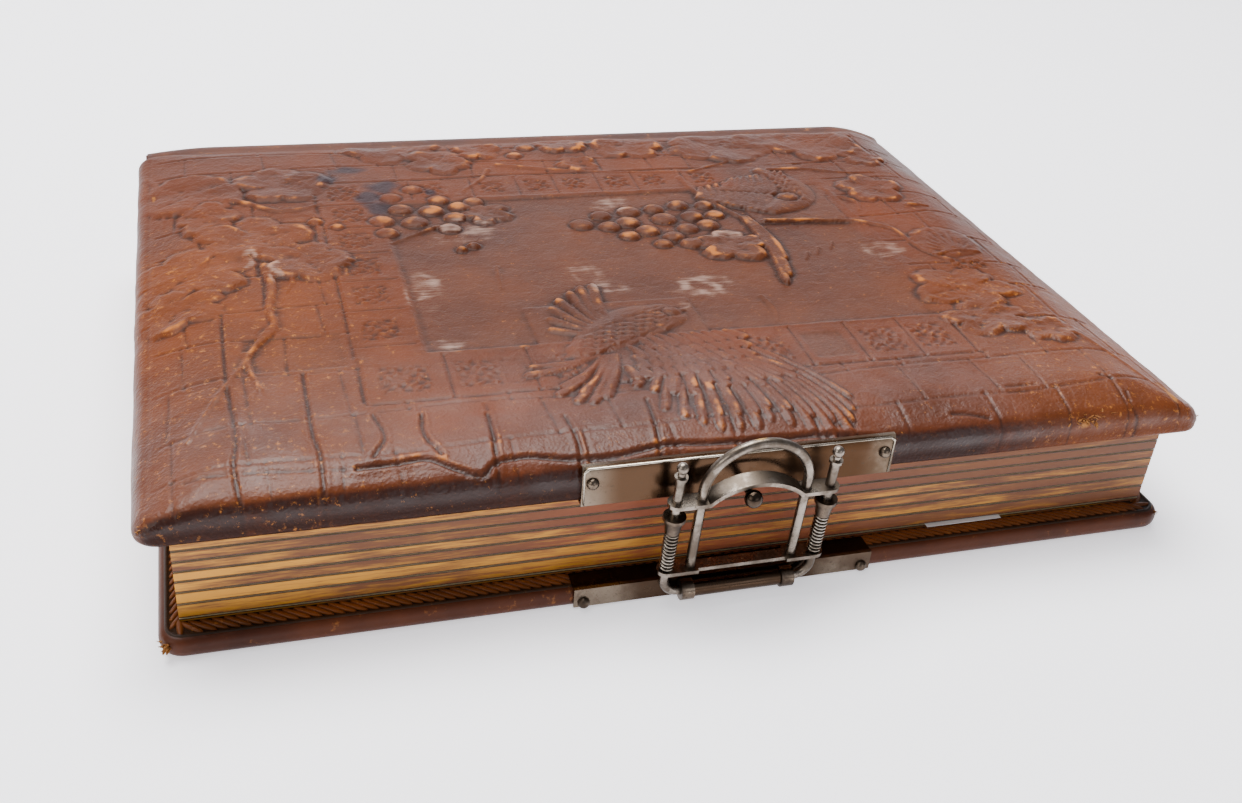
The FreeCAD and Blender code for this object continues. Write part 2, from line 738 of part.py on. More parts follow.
ARCH_RADIUS = "((arch_span * arch_span / 4 + arch_rise * arch_rise) / (2 * arch_rise))"
arch_middle = ("0", "-strip_width / 2", f"bar_height + arch_rise - {ARCH_RADIUS}")
arch_tube = cut(
    "catch_bar_tube",
    cylinder("catch_bar_tube_outer", arch_middle, f"{ARCH_RADIUS} + strip", "strip_width", "y"),
    cylinder("catch_bar_tube_inner", arch_middle, ARCH_RADIUS, "strip_width", "y"),
)
arch_window = box(
    "catch_bar_window",
    ("-arch_span / 2 - strip", "-strip_width / 2", "bar_height"),
    ("arch_span + 2 * strip", "strip_width", "arch_rise + 2 * strip"),
)
strip_piece("catch_bar", "bar_height", common("catch_bar_arch", arch_tube, arch_window))
strip_piece(
    "lower_strap",
    "strap_height",
    box(
        "lower_strap_waist",
        ("-arch_span / 2", "-strap_waist / 2", "strap_height"),
        ("arch_span", "strap_waist", "strip"),
    ),
)

doc.recompute()
for item in doc.Objects:
    assert not {"Invalid", "Error"} & set(item.State), f"{item.Name} failed: {item.State}"

for item in KEPT:
    shape = item.Shape
    assert not shape.isNull() and shape.isValid(), f"{item.Name} has no valid shape"
    assert shape.Solids, f"{item.Name} has no solid"
    shape.exportStep(f"parts/{item.Name}.step")
    print(item.Name, len(shape.Solids), round(shape.Volume, 1))
print(len(KEPT), "nodes")
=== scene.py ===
import math

import bpy
import numpy as np
from mathutils import Matrix, Vector


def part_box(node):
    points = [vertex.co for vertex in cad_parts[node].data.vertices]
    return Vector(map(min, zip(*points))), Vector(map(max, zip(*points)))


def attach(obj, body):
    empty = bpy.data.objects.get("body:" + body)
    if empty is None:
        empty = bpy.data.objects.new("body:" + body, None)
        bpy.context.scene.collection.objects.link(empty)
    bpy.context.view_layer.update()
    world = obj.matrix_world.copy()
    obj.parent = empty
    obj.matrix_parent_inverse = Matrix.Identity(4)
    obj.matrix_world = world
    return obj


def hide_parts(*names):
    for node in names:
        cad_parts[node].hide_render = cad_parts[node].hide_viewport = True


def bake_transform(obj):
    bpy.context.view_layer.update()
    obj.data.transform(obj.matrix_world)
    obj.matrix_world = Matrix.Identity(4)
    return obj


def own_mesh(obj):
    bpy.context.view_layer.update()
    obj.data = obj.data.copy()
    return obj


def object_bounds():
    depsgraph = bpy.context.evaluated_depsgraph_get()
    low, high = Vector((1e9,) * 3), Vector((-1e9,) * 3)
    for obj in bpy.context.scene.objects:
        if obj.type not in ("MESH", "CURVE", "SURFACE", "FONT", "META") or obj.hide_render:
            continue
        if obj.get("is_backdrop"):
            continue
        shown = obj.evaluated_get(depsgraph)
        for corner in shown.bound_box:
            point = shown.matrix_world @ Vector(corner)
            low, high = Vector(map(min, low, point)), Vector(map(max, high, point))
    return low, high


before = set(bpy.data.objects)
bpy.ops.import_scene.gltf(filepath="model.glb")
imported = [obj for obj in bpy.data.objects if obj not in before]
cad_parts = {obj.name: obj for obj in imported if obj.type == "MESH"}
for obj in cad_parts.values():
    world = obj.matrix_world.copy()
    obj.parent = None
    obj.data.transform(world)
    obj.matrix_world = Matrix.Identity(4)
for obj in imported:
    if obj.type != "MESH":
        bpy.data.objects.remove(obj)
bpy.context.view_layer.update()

# ---------------------------------------------------------------------------------------------
# The studio table: a white paper sweep that turns up behind the album, one large soft light
# over it and weaker fill from both sides. The camera stands in front of the left corner,
# looking down on the cover.

MM = 0.001


def linear(code, alpha=1.0):
    """An sRGB hex colour as the linear numbers a shader wants."""
    levels = [int(code[n : n + 2], 16) / 255 for n in (1, 3, 5)]
    return (*[c / 12.92 if c <= 0.04045 else ((c + 0.055) / 1.055) ** 2.4 for c in levels], alpha)


def new_material(name):
    material = bpy.data.materials.new(name)
    material.use_nodes = True
    tree = material.node_tree
    return material, tree, tree.nodes["Principled BSDF"]


def add(tree, kind, settings=None, **inputs):
    """One node; an input takes a value, a hex colour or a node's output, and _2 is the socket of number 2."""
    node = tree.nodes.new(kind)
    for name, value in (settings or {}).items():
        setattr(node, name, value)
    for name, value in inputs.items():
        key = int(name[1:]) if name[0] == "_" else name.replace("_", " ")
        connect(tree, node, key, value)
    return node


def connect(tree, node, key, value):
    if isinstance(value, bpy.types.NodeSocket):
        tree.links.new(value, node.inputs[key])
    elif isinstance(value, str) and value.startswith("#"):
        node.inputs[key].default_value = linear(value)
    else:
        node.inputs[key].default_value = value


sweep_depth, sweep_rise, sweep_bend = 1.1, 1.6, 0.7
profile = [(-2.2, 0.0), (sweep_depth, 0.0)]
for step in range(1, 13):
    turn = math.radians(90 * step / 12)
    profile.append((sweep_depth + sweep_bend * math.sin(turn), sweep_bend * (1 - math.cos(turn))))
profile.append((sweep_depth + sweep_bend, sweep_rise))
sweep_mesh = bpy.data.meshes.new("paper_sweep")
sweep_mesh.from_pydata(
    [(x, y, z) for y, z in profile for x in (-2.6, 2.6)],
    [],
    [(2 * n, 2 * n + 1, 2 * n + 3, 2 * n + 2) for n in range(len(profile) - 1)],
)
sweep = bpy.data.objects.new("paper_sweep", sweep_mesh)
bpy.context.scene.collection.objects.link(sweep)
for face in sweep_mesh.polygons:
    face.use_smooth = True
paper_sweep, tree, shader = new_material("matt_white_paper_sweep")
shader.inputs["Base Color"].default_value = linear("#F8F7FA")
shader.inputs["Roughness"].default_value = 0.8
shader.inputs["Emission Color"].default_value = linear("#F7F5FA")
# lit from beneath, so that it stays white in the corners
shader.inputs["Emission Strength"].default_value = 0.8
sweep_mesh.materials.append(paper_sweep)
sweep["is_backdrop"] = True

world = bpy.data.worlds.new("studio")
bpy.context.scene.world = world
world.use_nodes = True
world.node_tree.nodes["Background"].inputs["Color"].default_value = linear("#F4F6FF")
world.node_tree.nodes["Background"].inputs["Strength"].default_value = 0.4


def soft_light(name, place, target, width, height, watts, colour):
    lamp = bpy.data.lights.new(name, "AREA")
    lamp.shape = "RECTANGLE"
    lamp.size, lamp.size_y = width, height
    lamp.energy = watts
    lamp.color = linear(colour)[:3]
    holder = bpy.data.objects.new(name, lamp)
    bpy.context.scene.collection.objects.link(holder)
    holder.location = place
    holder.rotation_euler = (Vector(target) - Vector(place)).to_track_quat("-Z", "Y").to_euler()


soft_light("overhead_softbox", (-0.15, 0.35, 1.35), (0, 0, 0), 1.3, 0.9, 54, "#FFFFFF")
soft_light("left_fill", (-1.2, -0.6, 0.7), (0, 0, 0.02), 0.8, 0.8, 6, "#FFFBF5")
soft_light("front_fill", (0.5, -1.3, 0.55), (0, 0, 0.02), 0.9, 0.5, 3, "#F6F8FF")

camera_data = bpy.data.cameras.new("camera")
camera_data.sensor_width = 36.0
camera_data.lens = 38.33
camera_data.clip_start = 0.01
camera = bpy.data.objects.new("camera", camera_data)
bpy.context.scene.collection.objects.link(camera)
yaw, pitch, roll = (math.radians(angle) for angle in (18.99, 31.75, 5.01))
forward = Vector((math.sin(yaw) * math.cos(pitch), math.cos(yaw) * math.cos(pitch), -math.sin(pitch)))
level = Vector((math.cos(yaw), -math.sin(yaw), 0))
steep = level.cross(forward)
side = level * math.cos(roll) + steep * math.sin(roll)
above = steep * math.cos(roll) - level * math.sin(roll)
camera_place = (-0.1146, -0.3469, 0.2210)
camera.matrix_world = Matrix.Translation(camera_place) @ Matrix(
    (
        (side.x, above.x, -forward.x, 0),
        (side.y, above.y, -forward.y, 0),
        (side.z, above.z, -forward.z, 0),
        (0, 0, 0, 1),
    )
)
bpy.context.scene.camera = camera

# ---------------------------------------------------------------------------------------------
# Back cover: a millboard covered in thin brown sheepskin. The skin is drawn round the board's
# edges, pared thin and pasted down. Years of handling left it dark, glazed and worn at the rims.

half_back, half_front = 137.5, 140.0    # half lengths of the two covers
half_depth = 102.15
corner = 6.0                            # the boards' rounded corners, seen from above


def outline(half_x, half_y, radius, inset, spacing):
    """Points round a rounded rectangle drawn in by inset, anticlockwise, with their outward directions."""
    counts = [max(1, int(round(half * 2 / spacing))) for half in (half_y, half_x)]
    half_x, half_y = half_x - inset, half_y - inset
    radius = max(radius - inset, 0.01)
    points, outward = [], []
    for quarter, (sx, sy) in enumerate(((1, -1), (1, 1), (-1, 1), (-1, -1))):
        middle = np.array([sx * (half_x - radius), sy * (half_y - radius)])
        for turn in np.radians(np.linspace(-90, 0, 9) + 90 * quarter):
            direction = np.array([math.cos(turn), math.sin(turn)])
            points.append(middle + radius * direction)
            outward.append(direction)
        following = ((1, 1), (-1, 1), (-1, -1), (1, -1))[quarter]
        next_middle = np.array([following[0] * (half_x - radius), following[1] * (half_y - radius)])
        target = next_middle + radius * outward[-1]
        count = counts[quarter % 2]
        start = points[-1]
        for step in range(1, count):
            points.append(start + (target - start) * step / count)
            outward.append(outward[-1])
    return np.array(points), np.array(outward)


def new_piece(name, points, faces, material, smooth=True):
    """A mesh object from points in millimetres."""
    mesh = bpy.data.meshes.new(name)
    mesh.from_pydata((np.asarray(points, float) * MM).tolist(), [], faces)
    mesh.update()
    mesh.polygons.foreach_set("use_smooth", [smooth] * len(mesh.polygons))
    mesh.materials.append(material)
    piece = bpy.data.objects.new(name, mesh)
    bpy.context.scene.collection.objects.link(piece)
    return piece


def drawn_round(name, section, half_x, half_y, material, closed=False, spacing=3.0):
    """A skin drawn round a board: section is (inset, height) pairs, one ring each, from under to over."""
    points = []
    for inset, height in section:
        ring = outline(half_x, half_y, corner, inset, spacing)[0]
        points.append(np.column_stack([ring, np.full(len(ring), height)]))
    around = len(points[0])
    faces = []
    last = len(section) if closed else len(section) - 1
    for ring in range(last):
        a, b = ring * around, ((ring + 1) % len(section)) * around
        for n in range(around):
            m = (n + 1) % around
            faces.append((a + n, a + m, b + m, b + n))
    if not closed:
        faces.append(tuple(reversed(range(around))))
        faces.append(tuple((len(section) - 1) * around + n for n in range(around)))
    return new_piece(name, np.concatenate(points), faces, material)


pebble = 0.9                            # width of the skin's pebble grain


def leather(name, light, dark, worn, gloss):
    """Brown sheepskin, dyed, glazed and handled: a little uneven in colour, with a fine pebble grain."""
    material, tree, shader = new_material(name)
    place = add(tree, "ShaderNodeTexCoord").outputs["Object"]
    patches = add(tree, "ShaderNodeTexNoise", Vector=place, Scale=1 / (35.7 * MM), Detail=6.0, Roughness=0.6)
    tone = add(tree, "ShaderNodeMapRange", Value=patches.outputs["Fac"], From_Min=0.35, From_Max=0.68)
    colour = add(tree, "ShaderNodeMix", {"data_type": "RGBA"}, _0=tone.outputs[0], _6=dark, _7=light)
    rubbed = add(tree, "ShaderNodeTexNoise", Vector=place, Scale=1 / (3.85 * MM), Detail=5.0, Roughness=0.75)
    bare = add(tree, "ShaderNodeMapRange", Value=rubbed.outputs["Fac"], From_Min=0.60, From_Max=0.74)
    colour = add(
        tree, "ShaderNodeMix", {"data_type": "RGBA"}, _0=bare.outputs[0], _6=colour.outputs[2], _7=worn,
    )
    connect(tree, shader, "Base Color", colour.outputs[2])
    pebbles = add(tree, "ShaderNodeTexVoronoi", Vector=place, Scale=1 / (pebble * MM))
    bump = add(tree, "ShaderNodeBump", Strength=0.25, Distance=0.0001, Height=pebbles.outputs["Distance"])
    connect(tree, shader, "Normal", bump.outputs[0])
    dull = add(tree, "ShaderNodeMapRange", Value=patches.outputs["Fac"], To_Min=gloss, To_Max=gloss + 0.2)
    connect(tree, shader, "Roughness", dull.outputs[0])
    shader.inputs["Specular IOR Level"].default_value = 0.16
    return material


cover_leather = leather("glazed_brown_sheepskin", "#562B14", "#34180D", "#8A5426", 0.30)
section = [
    (14.0, 0.02), (2.4, 0.02), (1.5, 0.2), (0.7, 0.8), (0.18, 1.7), (0.0, 2.7), (0.05, 3.8), (0.35, 4.8),
]
section += [(0.9, 5.45), (1.6, 5.75), (2.3, 5.8), (2.9, 5.55)]
back_skin = drawn_round("back_cover_leather", section, half_back, half_depth, cover_leather)
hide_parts("back_leather")
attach(back_skin, "back_cover")


# ---------------------------------------------------------------------------------------------
# Front cover: board and wadding under one skin, pressed hot between plates so that birds, vine
# leaves, grapes and a stone wall stand up in relief. The wadding is full in the middle and is
# drawn down thin to the two short edges. High spots are rubbed tan, hollows hold old polish.

raster = 4                              # relief cells to the millimetre
span_x, span_y = 142.0, 104.5
grid_x, grid_y = np.meshgrid(
    np.arange(-span_x, span_x, 1 / raster), np.arange(-span_y, span_y, 1 / raster), indexing="ij"
)
relief = np.zeros_like(grid_x)
dice = np.random.default_rng(11)


def soft_step(value, low, high):
    t = np.clip((value - low) / (high - low), 0, 1)
    return t * t * (3 - 2 * t)


def blurred(field, reach):
    """Three box averages, which come near a Gaussian; reach is in millimetres."""
    width = max(1, int(round(reach * raster)))
    for _ in range(3):
        for axis in (0, 1):
            padded = np.concatenate(
                [
                    np.repeat(np.take(field, [0], axis), width + 1, axis),
                    field,
                    np.repeat(np.take(field, [-1], axis), width, axis),
                ],
                axis,
            )
            total = np.cumsum(padded, axis)
            size = field.shape[axis]
            ahead = np.take(total, range(2 * width + 1, 2 * width + 1 + size), axis)
            behind = np.take(total, range(0, size), axis)
            field = (ahead - behind) / (2 * width + 1)
    return field


def cloudy(reach, seed):
    """Smooth random unevenness between about -1 and 1, with lumps of that many millimetres."""
    field = blurred(np.random.default_rng(seed).standard_normal(grid_x.shape), reach)
    return field / (np.abs(field).max() * 0.6)


crumple, finer_crumple = cloudy(2.6, 12), cloudy(0.9, 13)


def window(low_x, high_x, low_y, high_y):
    rows = slice(max(0, int((low_x + span_x) * raster)), max(0, int((high_x + span_x) * raster) + 2))
    columns = slice(max(0, int((low_y + span_y) * raster)), max(0, int((high_y + span_y) * raster) + 2))
    return rows, columns


def flowing(points, count=10):
    """A Catmull-Rom curve through given points."""
    points = np.asarray(points, float)
    ends = np.vstack([2 * points[0] - points[1], points, 2 * points[-1] - points[-2]])
    line = []
    for n in range(len(points) - 1):
        a, b, c, d = ends[n : n + 4]
        for t in np.linspace(0, 1, count, endpoint=False):
            bend = (2 * a - 5 * b + 4 * c - d) * t**2
            line.append(0.5 * (2 * b + (c - a) * t + bend + (3 * b - 3 * c + d - a) * t**3))
    return np.array(line + [points[-1]])


def across(points, reach):
    """For a curve: the cells near it, how far each is from it, and how far along it that is (0 to 1)."""
    line = flowing(points) if len(points) > 2 else np.asarray(points, float)
    low, high = line.min(0) - reach, line.max(0) + reach
    cells = window(low[0], high[0], low[1], high[1])
    x, y = grid_x[cells], grid_y[cells]
    best, along = np.full(x.shape, 1e9), np.zeros(x.shape)
    for n in range(len(line) - 1):
        start, step = line[n], line[n + 1] - line[n]
        t = np.clip(((x - start[0]) * step[0] + (y - start[1]) * step[1]) / max(step @ step, 1e-9), 0, 1)
        gap = np.hypot(x - start[0] - t * step[0], y - start[1] - t * step[1])
        nearer = gap < best
        best[nearer] = gap[nearer]
        along[nearer] = ((n + t) / (len(line) - 1))[nearer]
    return cells, best, along


def groove(points, depth=0.35, width=0.5, lips=0.4):
    """A joint or vein pressed into the skin, with a little lip each side."""
    cells, gap, _ = across(points, 3 * width + 1)
    relief[cells] -= depth * np.exp(-((gap / width) ** 2))
    relief[cells] += depth * lips * np.exp(-(((gap - 2 * width) / width) ** 2))


def ridge(points, height=0.6, width=1.2, taper=0.3):
    """A raised stem: full at its start and thinner at its tip."""
    cells, gap, along = across(points, width + 0.6)
    local = width * (1 - (1 - taper) * along)
    body = np.sqrt(np.clip(1 - (gap / local) ** 2, 0, 1))
    stem = relief[cells] * (1 - body) + height * body * (0.6 + 0.4 * (1 - along))
    relief[cells] = np.maximum(relief[cells], stem)


def feather(base, tip, width, height=0.62, shaft=True):
    """One quill: round tip, a raised shaft, and a sharp hollow down each side."""
    base, tip = np.array(base, float), np.array(tip, float)
    length = np.hypot(*(tip - base))
    sideways = np.array([-(tip - base)[1], (tip - base)[0]]) / length
    middle = (base + tip) / 2 + sideways * length * 0.05
    cells, gap, along = across([base, middle, tip], width + 0.8)
    blunt = np.clip(1 - np.clip((along - 0.93) / 0.07, 0, 1) ** 2, 0.02, 1)
    local = width * (0.45 + 0.55 * np.sin(np.clip(along, 0, 1) * math.pi * 0.62)) * np.sqrt(blunt)
    cover = soft_step(local - gap, -0.1, 0.35)
    barbs = 0.07 * np.sin((along * length * 3.2 - gap * 3.0) * 1.6)
    quill = height * (0.55 + 0.45 * np.sqrt(np.clip(1 - (gap / local) ** 2, 0, 1))) + barbs
    if shaft:
        quill += 0.14 * np.exp(-((gap / 0.28) ** 2))
    trench = 0.30 * np.exp(-(((gap - local - 0.25) / 0.3) ** 2))
    relief[cells] = relief[cells] * (1 - cover) + quill * cover - trench * (1 - cover)


def grape(x, y, radius, height=0.85):
    radius *= 0.88
    cells = window(x - radius - 2, x + radius + 2, y - radius - 2, y + radius + 2)
    gap = np.hypot(grid_x[cells] - x, (grid_y[cells] - y) * 1.08)
    ball = height * np.clip(1 - (gap / radius) ** 2, 0, 1) ** 0.75
    trench = 0.34 * np.exp(-(((gap - radius) / 0.6) ** 2))
    skin = np.maximum(relief[cells] * 0.4, 0.05) + ball
    relief[cells] = np.where(gap < radius, skin, relief[cells]) - trench


def vine_leaf(x, y, size, turn, height=0.75, lobes=5, cut=0.34, squash=1.0):
    """A lobed leaf, crumpled and high where its lobes roll over, with sunk veins; its tip points to turn."""
    cells = window(x - size - 3, x + size + 3, y - size - 3, y + size + 3)
    dx, dy = grid_x[cells] - x, grid_y[cells] - y
    angle = np.arctan2(dy, dx * squash) - math.radians(turn)
    angle = (angle + math.pi) % (2 * math.pi) - math.pi
    gap = np.hypot(dx * squash, dy)
    lobe_wave = np.abs(np.cos(angle * lobes / 2)) ** 0.6
    rim = size * (1 - cut * (1 - lobe_wave) - 0.16 * (np.abs(angle) / math.pi) ** 2)
    ragged = crumple[cells]
    rim += 0.10 * size * ragged + 0.3 * np.sin(angle * 17 + x) * lobe_wave
    cover = soft_step(rim - gap, -0.8, 2.2)
    shoulder = 0.45 + 0.55 * soft_step(gap / rim, 0.15, 0.8)
    fold = np.cos(angle * 2.5 + 0.12 * gap + x) * soft_step(gap, 1, 6)
    blade = 1.25 * height * shoulder * (0.8 + 0.35 * ragged + 0.35 * fold) + 0.2 * finer_crumple[cells]
    blade += 0.14 * np.exp(-(((rim - gap - 1.6) / 1.2) ** 2)) * soft_step(ragged, -0.5, 0.4)
    for lobe in range(lobes):
        toward = (lobe - (lobes - 1) / 2) * 2 * math.pi / lobes
        aside = np.abs(np.sin(angle - toward)) * gap + 3 * (np.cos(angle - toward) < 0)
        vein = soft_step(rim * 0.9 - gap, 0, 3) * soft_step(gap, 0.5, 3) * (0.6 + 0.4 * math.cos(toward))
        blade -= 0.18 * np.exp(-((aside / 0.6) ** 2)) * vein
        blade += 0.07 * np.sin((gap * 0.9 + aside * 0.8) * 2.1) * (aside < 4) * vein
    trench = 0.16 * np.exp(-(((gap - rim - 0.5) / 0.7) ** 2))
    relief[cells] = relief[cells] * (1 - cover) + blade * cover - trench * (1 - cover)


def block(x, y, width, depth, low, high):
    """A rectangle's cells, their places in it, and how much of the way inside its rim each one is."""
    cells = window(x - width / 2, x + width / 2, y - depth / 2, y + depth / 2)
    local_x, local_y = grid_x[cells] - x, grid_y[cells] - y
    inside = soft_step(width / 2 - np.abs(local_x), low, high)
    inside *= soft_step(depth / 2 - np.abs(local_y), low, high)
    return cells, local_x, local_y, inside


def ornament(x, y, width, depth, seed, height=0.62):
    """A small square of punched ornament: curls and beads in a sunk field."""
    cells, local_x, local_y, inside = block(x, y, width, depth, 0.2, 0.9)
    phase = seed * 1.7
    curls = np.sin(local_x * 1.45 + 1.3 * np.sin(local_y * 0.9 + phase))
    pattern = curls * np.sin(local_y * 1.55 + 1.1 * np.cos(local_x * 0.8 + phase))
    relief[cells] += inside * (height * np.clip(pattern, -0.25, 1) - 0.16)


def stipple(x, y, width, depth, pitch=1.9, sunk=0.3):
    """A sunk block of close-set dots."""
    cells, local_x, local_y, inside = block(x, y, width, depth, 0, 0.8)
    dots = np.sin(local_x * 2 * math.pi / pitch + 0.9 * np.sin(local_y))
    dots = dots * np.sin(local_y * 2 * math.pi / pitch + 0.7 * np.sin(local_x * 1.3))
    relief[cells] += inside * (-sunk + 0.22 * np.clip(dots, 0, 1))


# the stone wall: courses of unequal blocks, each a little pillowed
courses = [-104, -91, -75, -54, -34, -18, 1, 20, 37, 52, 66, 79, 92, 106]
for number, (low, high) in enumerate(zip(courses, courses[1:])):
    if low > -104:
        bend = []
        for x in range(-134, 135, 12):
            bend.append((x, low + 0.8 * math.sin(x / 23 + number * 2.1) + 0.5 * math.sin(x / 9 + number)))
        groove(bend, 0.26, 0.5)
    place = -136 + dice.uniform(4, 16)
    while place < 134:
        lean = dice.uniform(-1.2, 1.2)
        groove([(place, low), (place + lean * 0.6, (low + high) / 2), (place + lean, high)], 0.28, 0.5)
        place += dice.uniform(13, 27)
for line in (
    [(-117, -20), (-117.3, -52), (-116, -80), (-117, -91), (-116, -104)],
    [(-98.6, -54), (-98.8, -80), (-97.8, -91), (-98.2, -104)], [(-84, -76), (-82.5, -86), (-86, -93)],
    [(-72.5, -78), (-73.5, -86), (-70.5, -94)], [(-57, -80), (-57.5, -92), (-58.5, -104)],
    [(-38.5, -84), (-37.5, -95), (-39, -104)], [(-16, -80), (-17.5, -95), (-19, -104)],
):
    groove(line, 0.5, 0.55, 0.7)

# the framed field in the middle: sunk and smooth, with a band of small square tiles round it
field_left, field_right, field_near, field_far = -67, 86, -49, 48
inner = soft_step(grid_x - field_left, -1, 2.5) * soft_step(field_right - grid_x, -2, 4)
inner *= soft_step(grid_y - field_near, 0, 1.2) * soft_step(field_far - grid_y, 0, 1.2)
band = soft_step(grid_x - (field_left - 18), 0, 0.8) * soft_step(field_right + 4 - grid_x, 0, 0.8)
band *= soft_step(grid_y - (field_near - 22), 0, 0.8) * soft_step(field_far + 17 - grid_y, 0, 0.8)
band *= 1 - inner
relief = relief * (1 - 0.8 * inner) * (1 - 0.75 * band) - 0.45 * inner + 0.12 * band
for edge in (
    [(-66, -49.3), (18, -49), (86, -49.5)], [(-67.5, -48), (-67, 0), (-67.5, 47)],
    [(-34, 49), (10, 48.5), (40, 49)],
):
    ridge(edge, 0.42, 0.9, 0.8)
tile_joints = [-85, -63, -41, -22, 1, 18, 34.5, 51.5, 68, 84]
for x in tile_joints:
    groove([(x, -71), (x + 0.6, -50)], 0.36, 0.5, 0.6)
for number, (x, width) in enumerate(
    ((-74, 14), (-55, 12), (-45, 8), (-31, 12), (8, 12), (26, 11), (43, 13), (60, 12), (75, 12))
):
    if number in (2, 6):
        stipple(x, -60.5, width, 14)
    else:
        ornament(x, -60.5, width, 14, number)
for number, x in enumerate((-55, -34.5, -19, -6, 9, 22, 40)):
    groove([(x, 50), (x + 0.5, 65)], 0.32, 0.45, 0.6)
    ornament(x + 7, 57.5, 9, 10, number + 9)
for number, y in enumerate((-34, -14, 4, 22, 40, 57)):
    groove([(-85, y - 9), (-68, y - 9)], 0.28, 0.45, 0.6)
    ornament(-76.5, y, 11, 12, number + 17)
groove([(-85.5, -70), (-85, 0), (-85.5, 62)], 0.35, 0.5)
groove([(-85, -71.5), (0, -71), (86, -71.5)], 0.32, 0.5)
groove([(-60, 66), (0, 66.5), (88, 66)], 0.28, 0.5)
stipple(-100, -43.5, 26, 18, 1.7, 0.34)
stipple(-92.5, 36.5, 11, 11, 1.5, 0.2)
dark_blocks = np.zeros_like(relief)
for x, y, reach_x, reach_y in ((-100, -43.5, 13.5, 9.5), (43, -60.5, 6, 7)):
    columns = soft_step(reach_x - np.abs(grid_x - x), -0.5, 0.5)
    dark_blocks += columns * soft_step(reach_y - np.abs(grid_y - y), -0.5, 0.5)

# vine on the left, from the top edge down to the twigs
for x, y, size, turn, cut, squash in (
    (-122, 62, 17, 210, 0.12, 1.0), (-96, 66, 15, 20, 0.22, 0.9), (-118, 42, 13, 160, 0.3, 1.2),
    (-106, 27, 17, 300, 0.3, 0.9), (-124, 8, 17, 235, 0.36, 0.85), (-92, 10, 14, 290, 0.3, 1.0),
    (-128, -12, 13, 250, 0.36, 0.9), (-55, 93, 15, 100, 0.2, 0.8), (-42, 80, 12, 60, 0.25, 1.0),
    (-27, 90, 10, 20, 0.25, 1.0), (5, 93, 10, 90, 0.15, 0.9), (28, 88, 13, 80, 0.22, 0.9),
    (6, 74, 8, 40, 0.3, 1.0), (63, 84, 17, 60, 0.16, 0.8), (100, 83, 17, 40, 0.26, 0.8),
    (84, 93, 11, 100, 0.3, 0.9), (38, 4, 12, 10, 0.4, 0.8), (101, -34, 15, 200, 0.34, 0.8),
    (97, -53, 11, 240, 0.38, 0.7), (104, 42, 13, 300, 0.3, 1.0), (113, -62, 8, 280, 0.3, 0.8),
    (114, 70, 9, 0, 0.3, 0.9), (-34, 37, 9, 330, 0.35, 0.9),
):
    vine_leaf(x, y, size, turn, 0.75 if size > 9 else 0.6, 5, cut, squash)
for stem, height, width in (
    ([(-112, 56), (-106, 52), (-98, 46), (-90, 47), (-84, 50)], 0.9, 1.5),
    (
        [
            (-104, 8), (-103, -6), (-104.5, -18), (-104, -30), (-109, -38), (-113, -48), (-119, -60),
            (-127, -78),
        ],
        0.85, 1.5,
    ),
    ([(-104, -28), (-107.5, -34), (-111, -41)], 0.8, 1.1),
    ([(-112, -42), (-111, -52), (-110, -58), (-112.8, -70)], 0.7, 1.0),
    ([(-110, -57), (-107, -64)], 0.6, 0.8), ([(-99, 6), (-97, -2), (-99, -9)], 0.7, 0.9),
    ([(-50, 29), (-58, 24), (-67, 18)], 0.7, 0.9), ([(-26, 72), (-30, 64), (-36, 57), (-38, 54)], 0.7, 1.0),
    ([(-22, 76), (0, 69), (22, 65), (44, 63)], 0.65, 1.1), ([(44, 63), (60, 70), (68, 72)], 0.6, 0.9),
    ([(74, 62), (88, 61), (100, 57), (113, 56)], 0.8, 1.2),
    ([(56, 20), (70, 19), (84, 17), (92, 13), (97, 8), (99, -6), (103, -14), (107, -24)], 0.9, 1.4),
    ([(112, 27), (119, 25.5)], 0.8, 1.2), ([(90, 36), (94, 31), (92, 24)], 0.7, 1.2),
    ([(88, 42), (88.5, 20)], 0.5, 1.0),
    ([(-137, 82), (-133.5, 72), (-135, 62), (-132, 52), (-132, 42)], 0.6, 1.0),
    ([(35, -30), (36, -38), (34.5, -45)], 0.4, 0.7), ([(-38, -1), (-39.5, -15)], 0.35, 0.7),
):
    ridge(stem, height, width)
for x, y, radius in (
    (-67, 35, 4.8), (-66.5, 26, 4.2), (-60, 43, 4.6), (-57, 33, 5.0), (-50.5, 41, 4.8), (-47, 49, 4.2),
    (-62, 52, 4.4), (-54, 58, 4.3), (-44, 35, 4.4), (-41, 43, 4.4), (-47, 27, 4.2), (-42, 14, 2.6),
    (-46, 12, 2.2), (-36, 46, 4.0), (-87, 36.5, 3.0), (-81, 32, 2.8), (-8.5, 91, 4.2), (-14, 84, 3.6),
    (13, 33, 4.6), (3, 31, 4.0), (-5, 25, 4.5), (3.5, 22.5, 4.2), (10.5, 25, 4.6), (23, 26, 5.0),
    (15, 18, 4.6), (28.5, 18, 4.2), (22, 12.5, 4.2), (33, 27, 4.4), (36, 20, 4.4), (26, 7, 4.4),
    (8, 15, 4.0), (31, 36, 4.2), (17, 8, 3.6), (41, 27, 4.0), (40, 35, 3.8), (22, 34, 4.0),
):
    grape(x, y, radius)

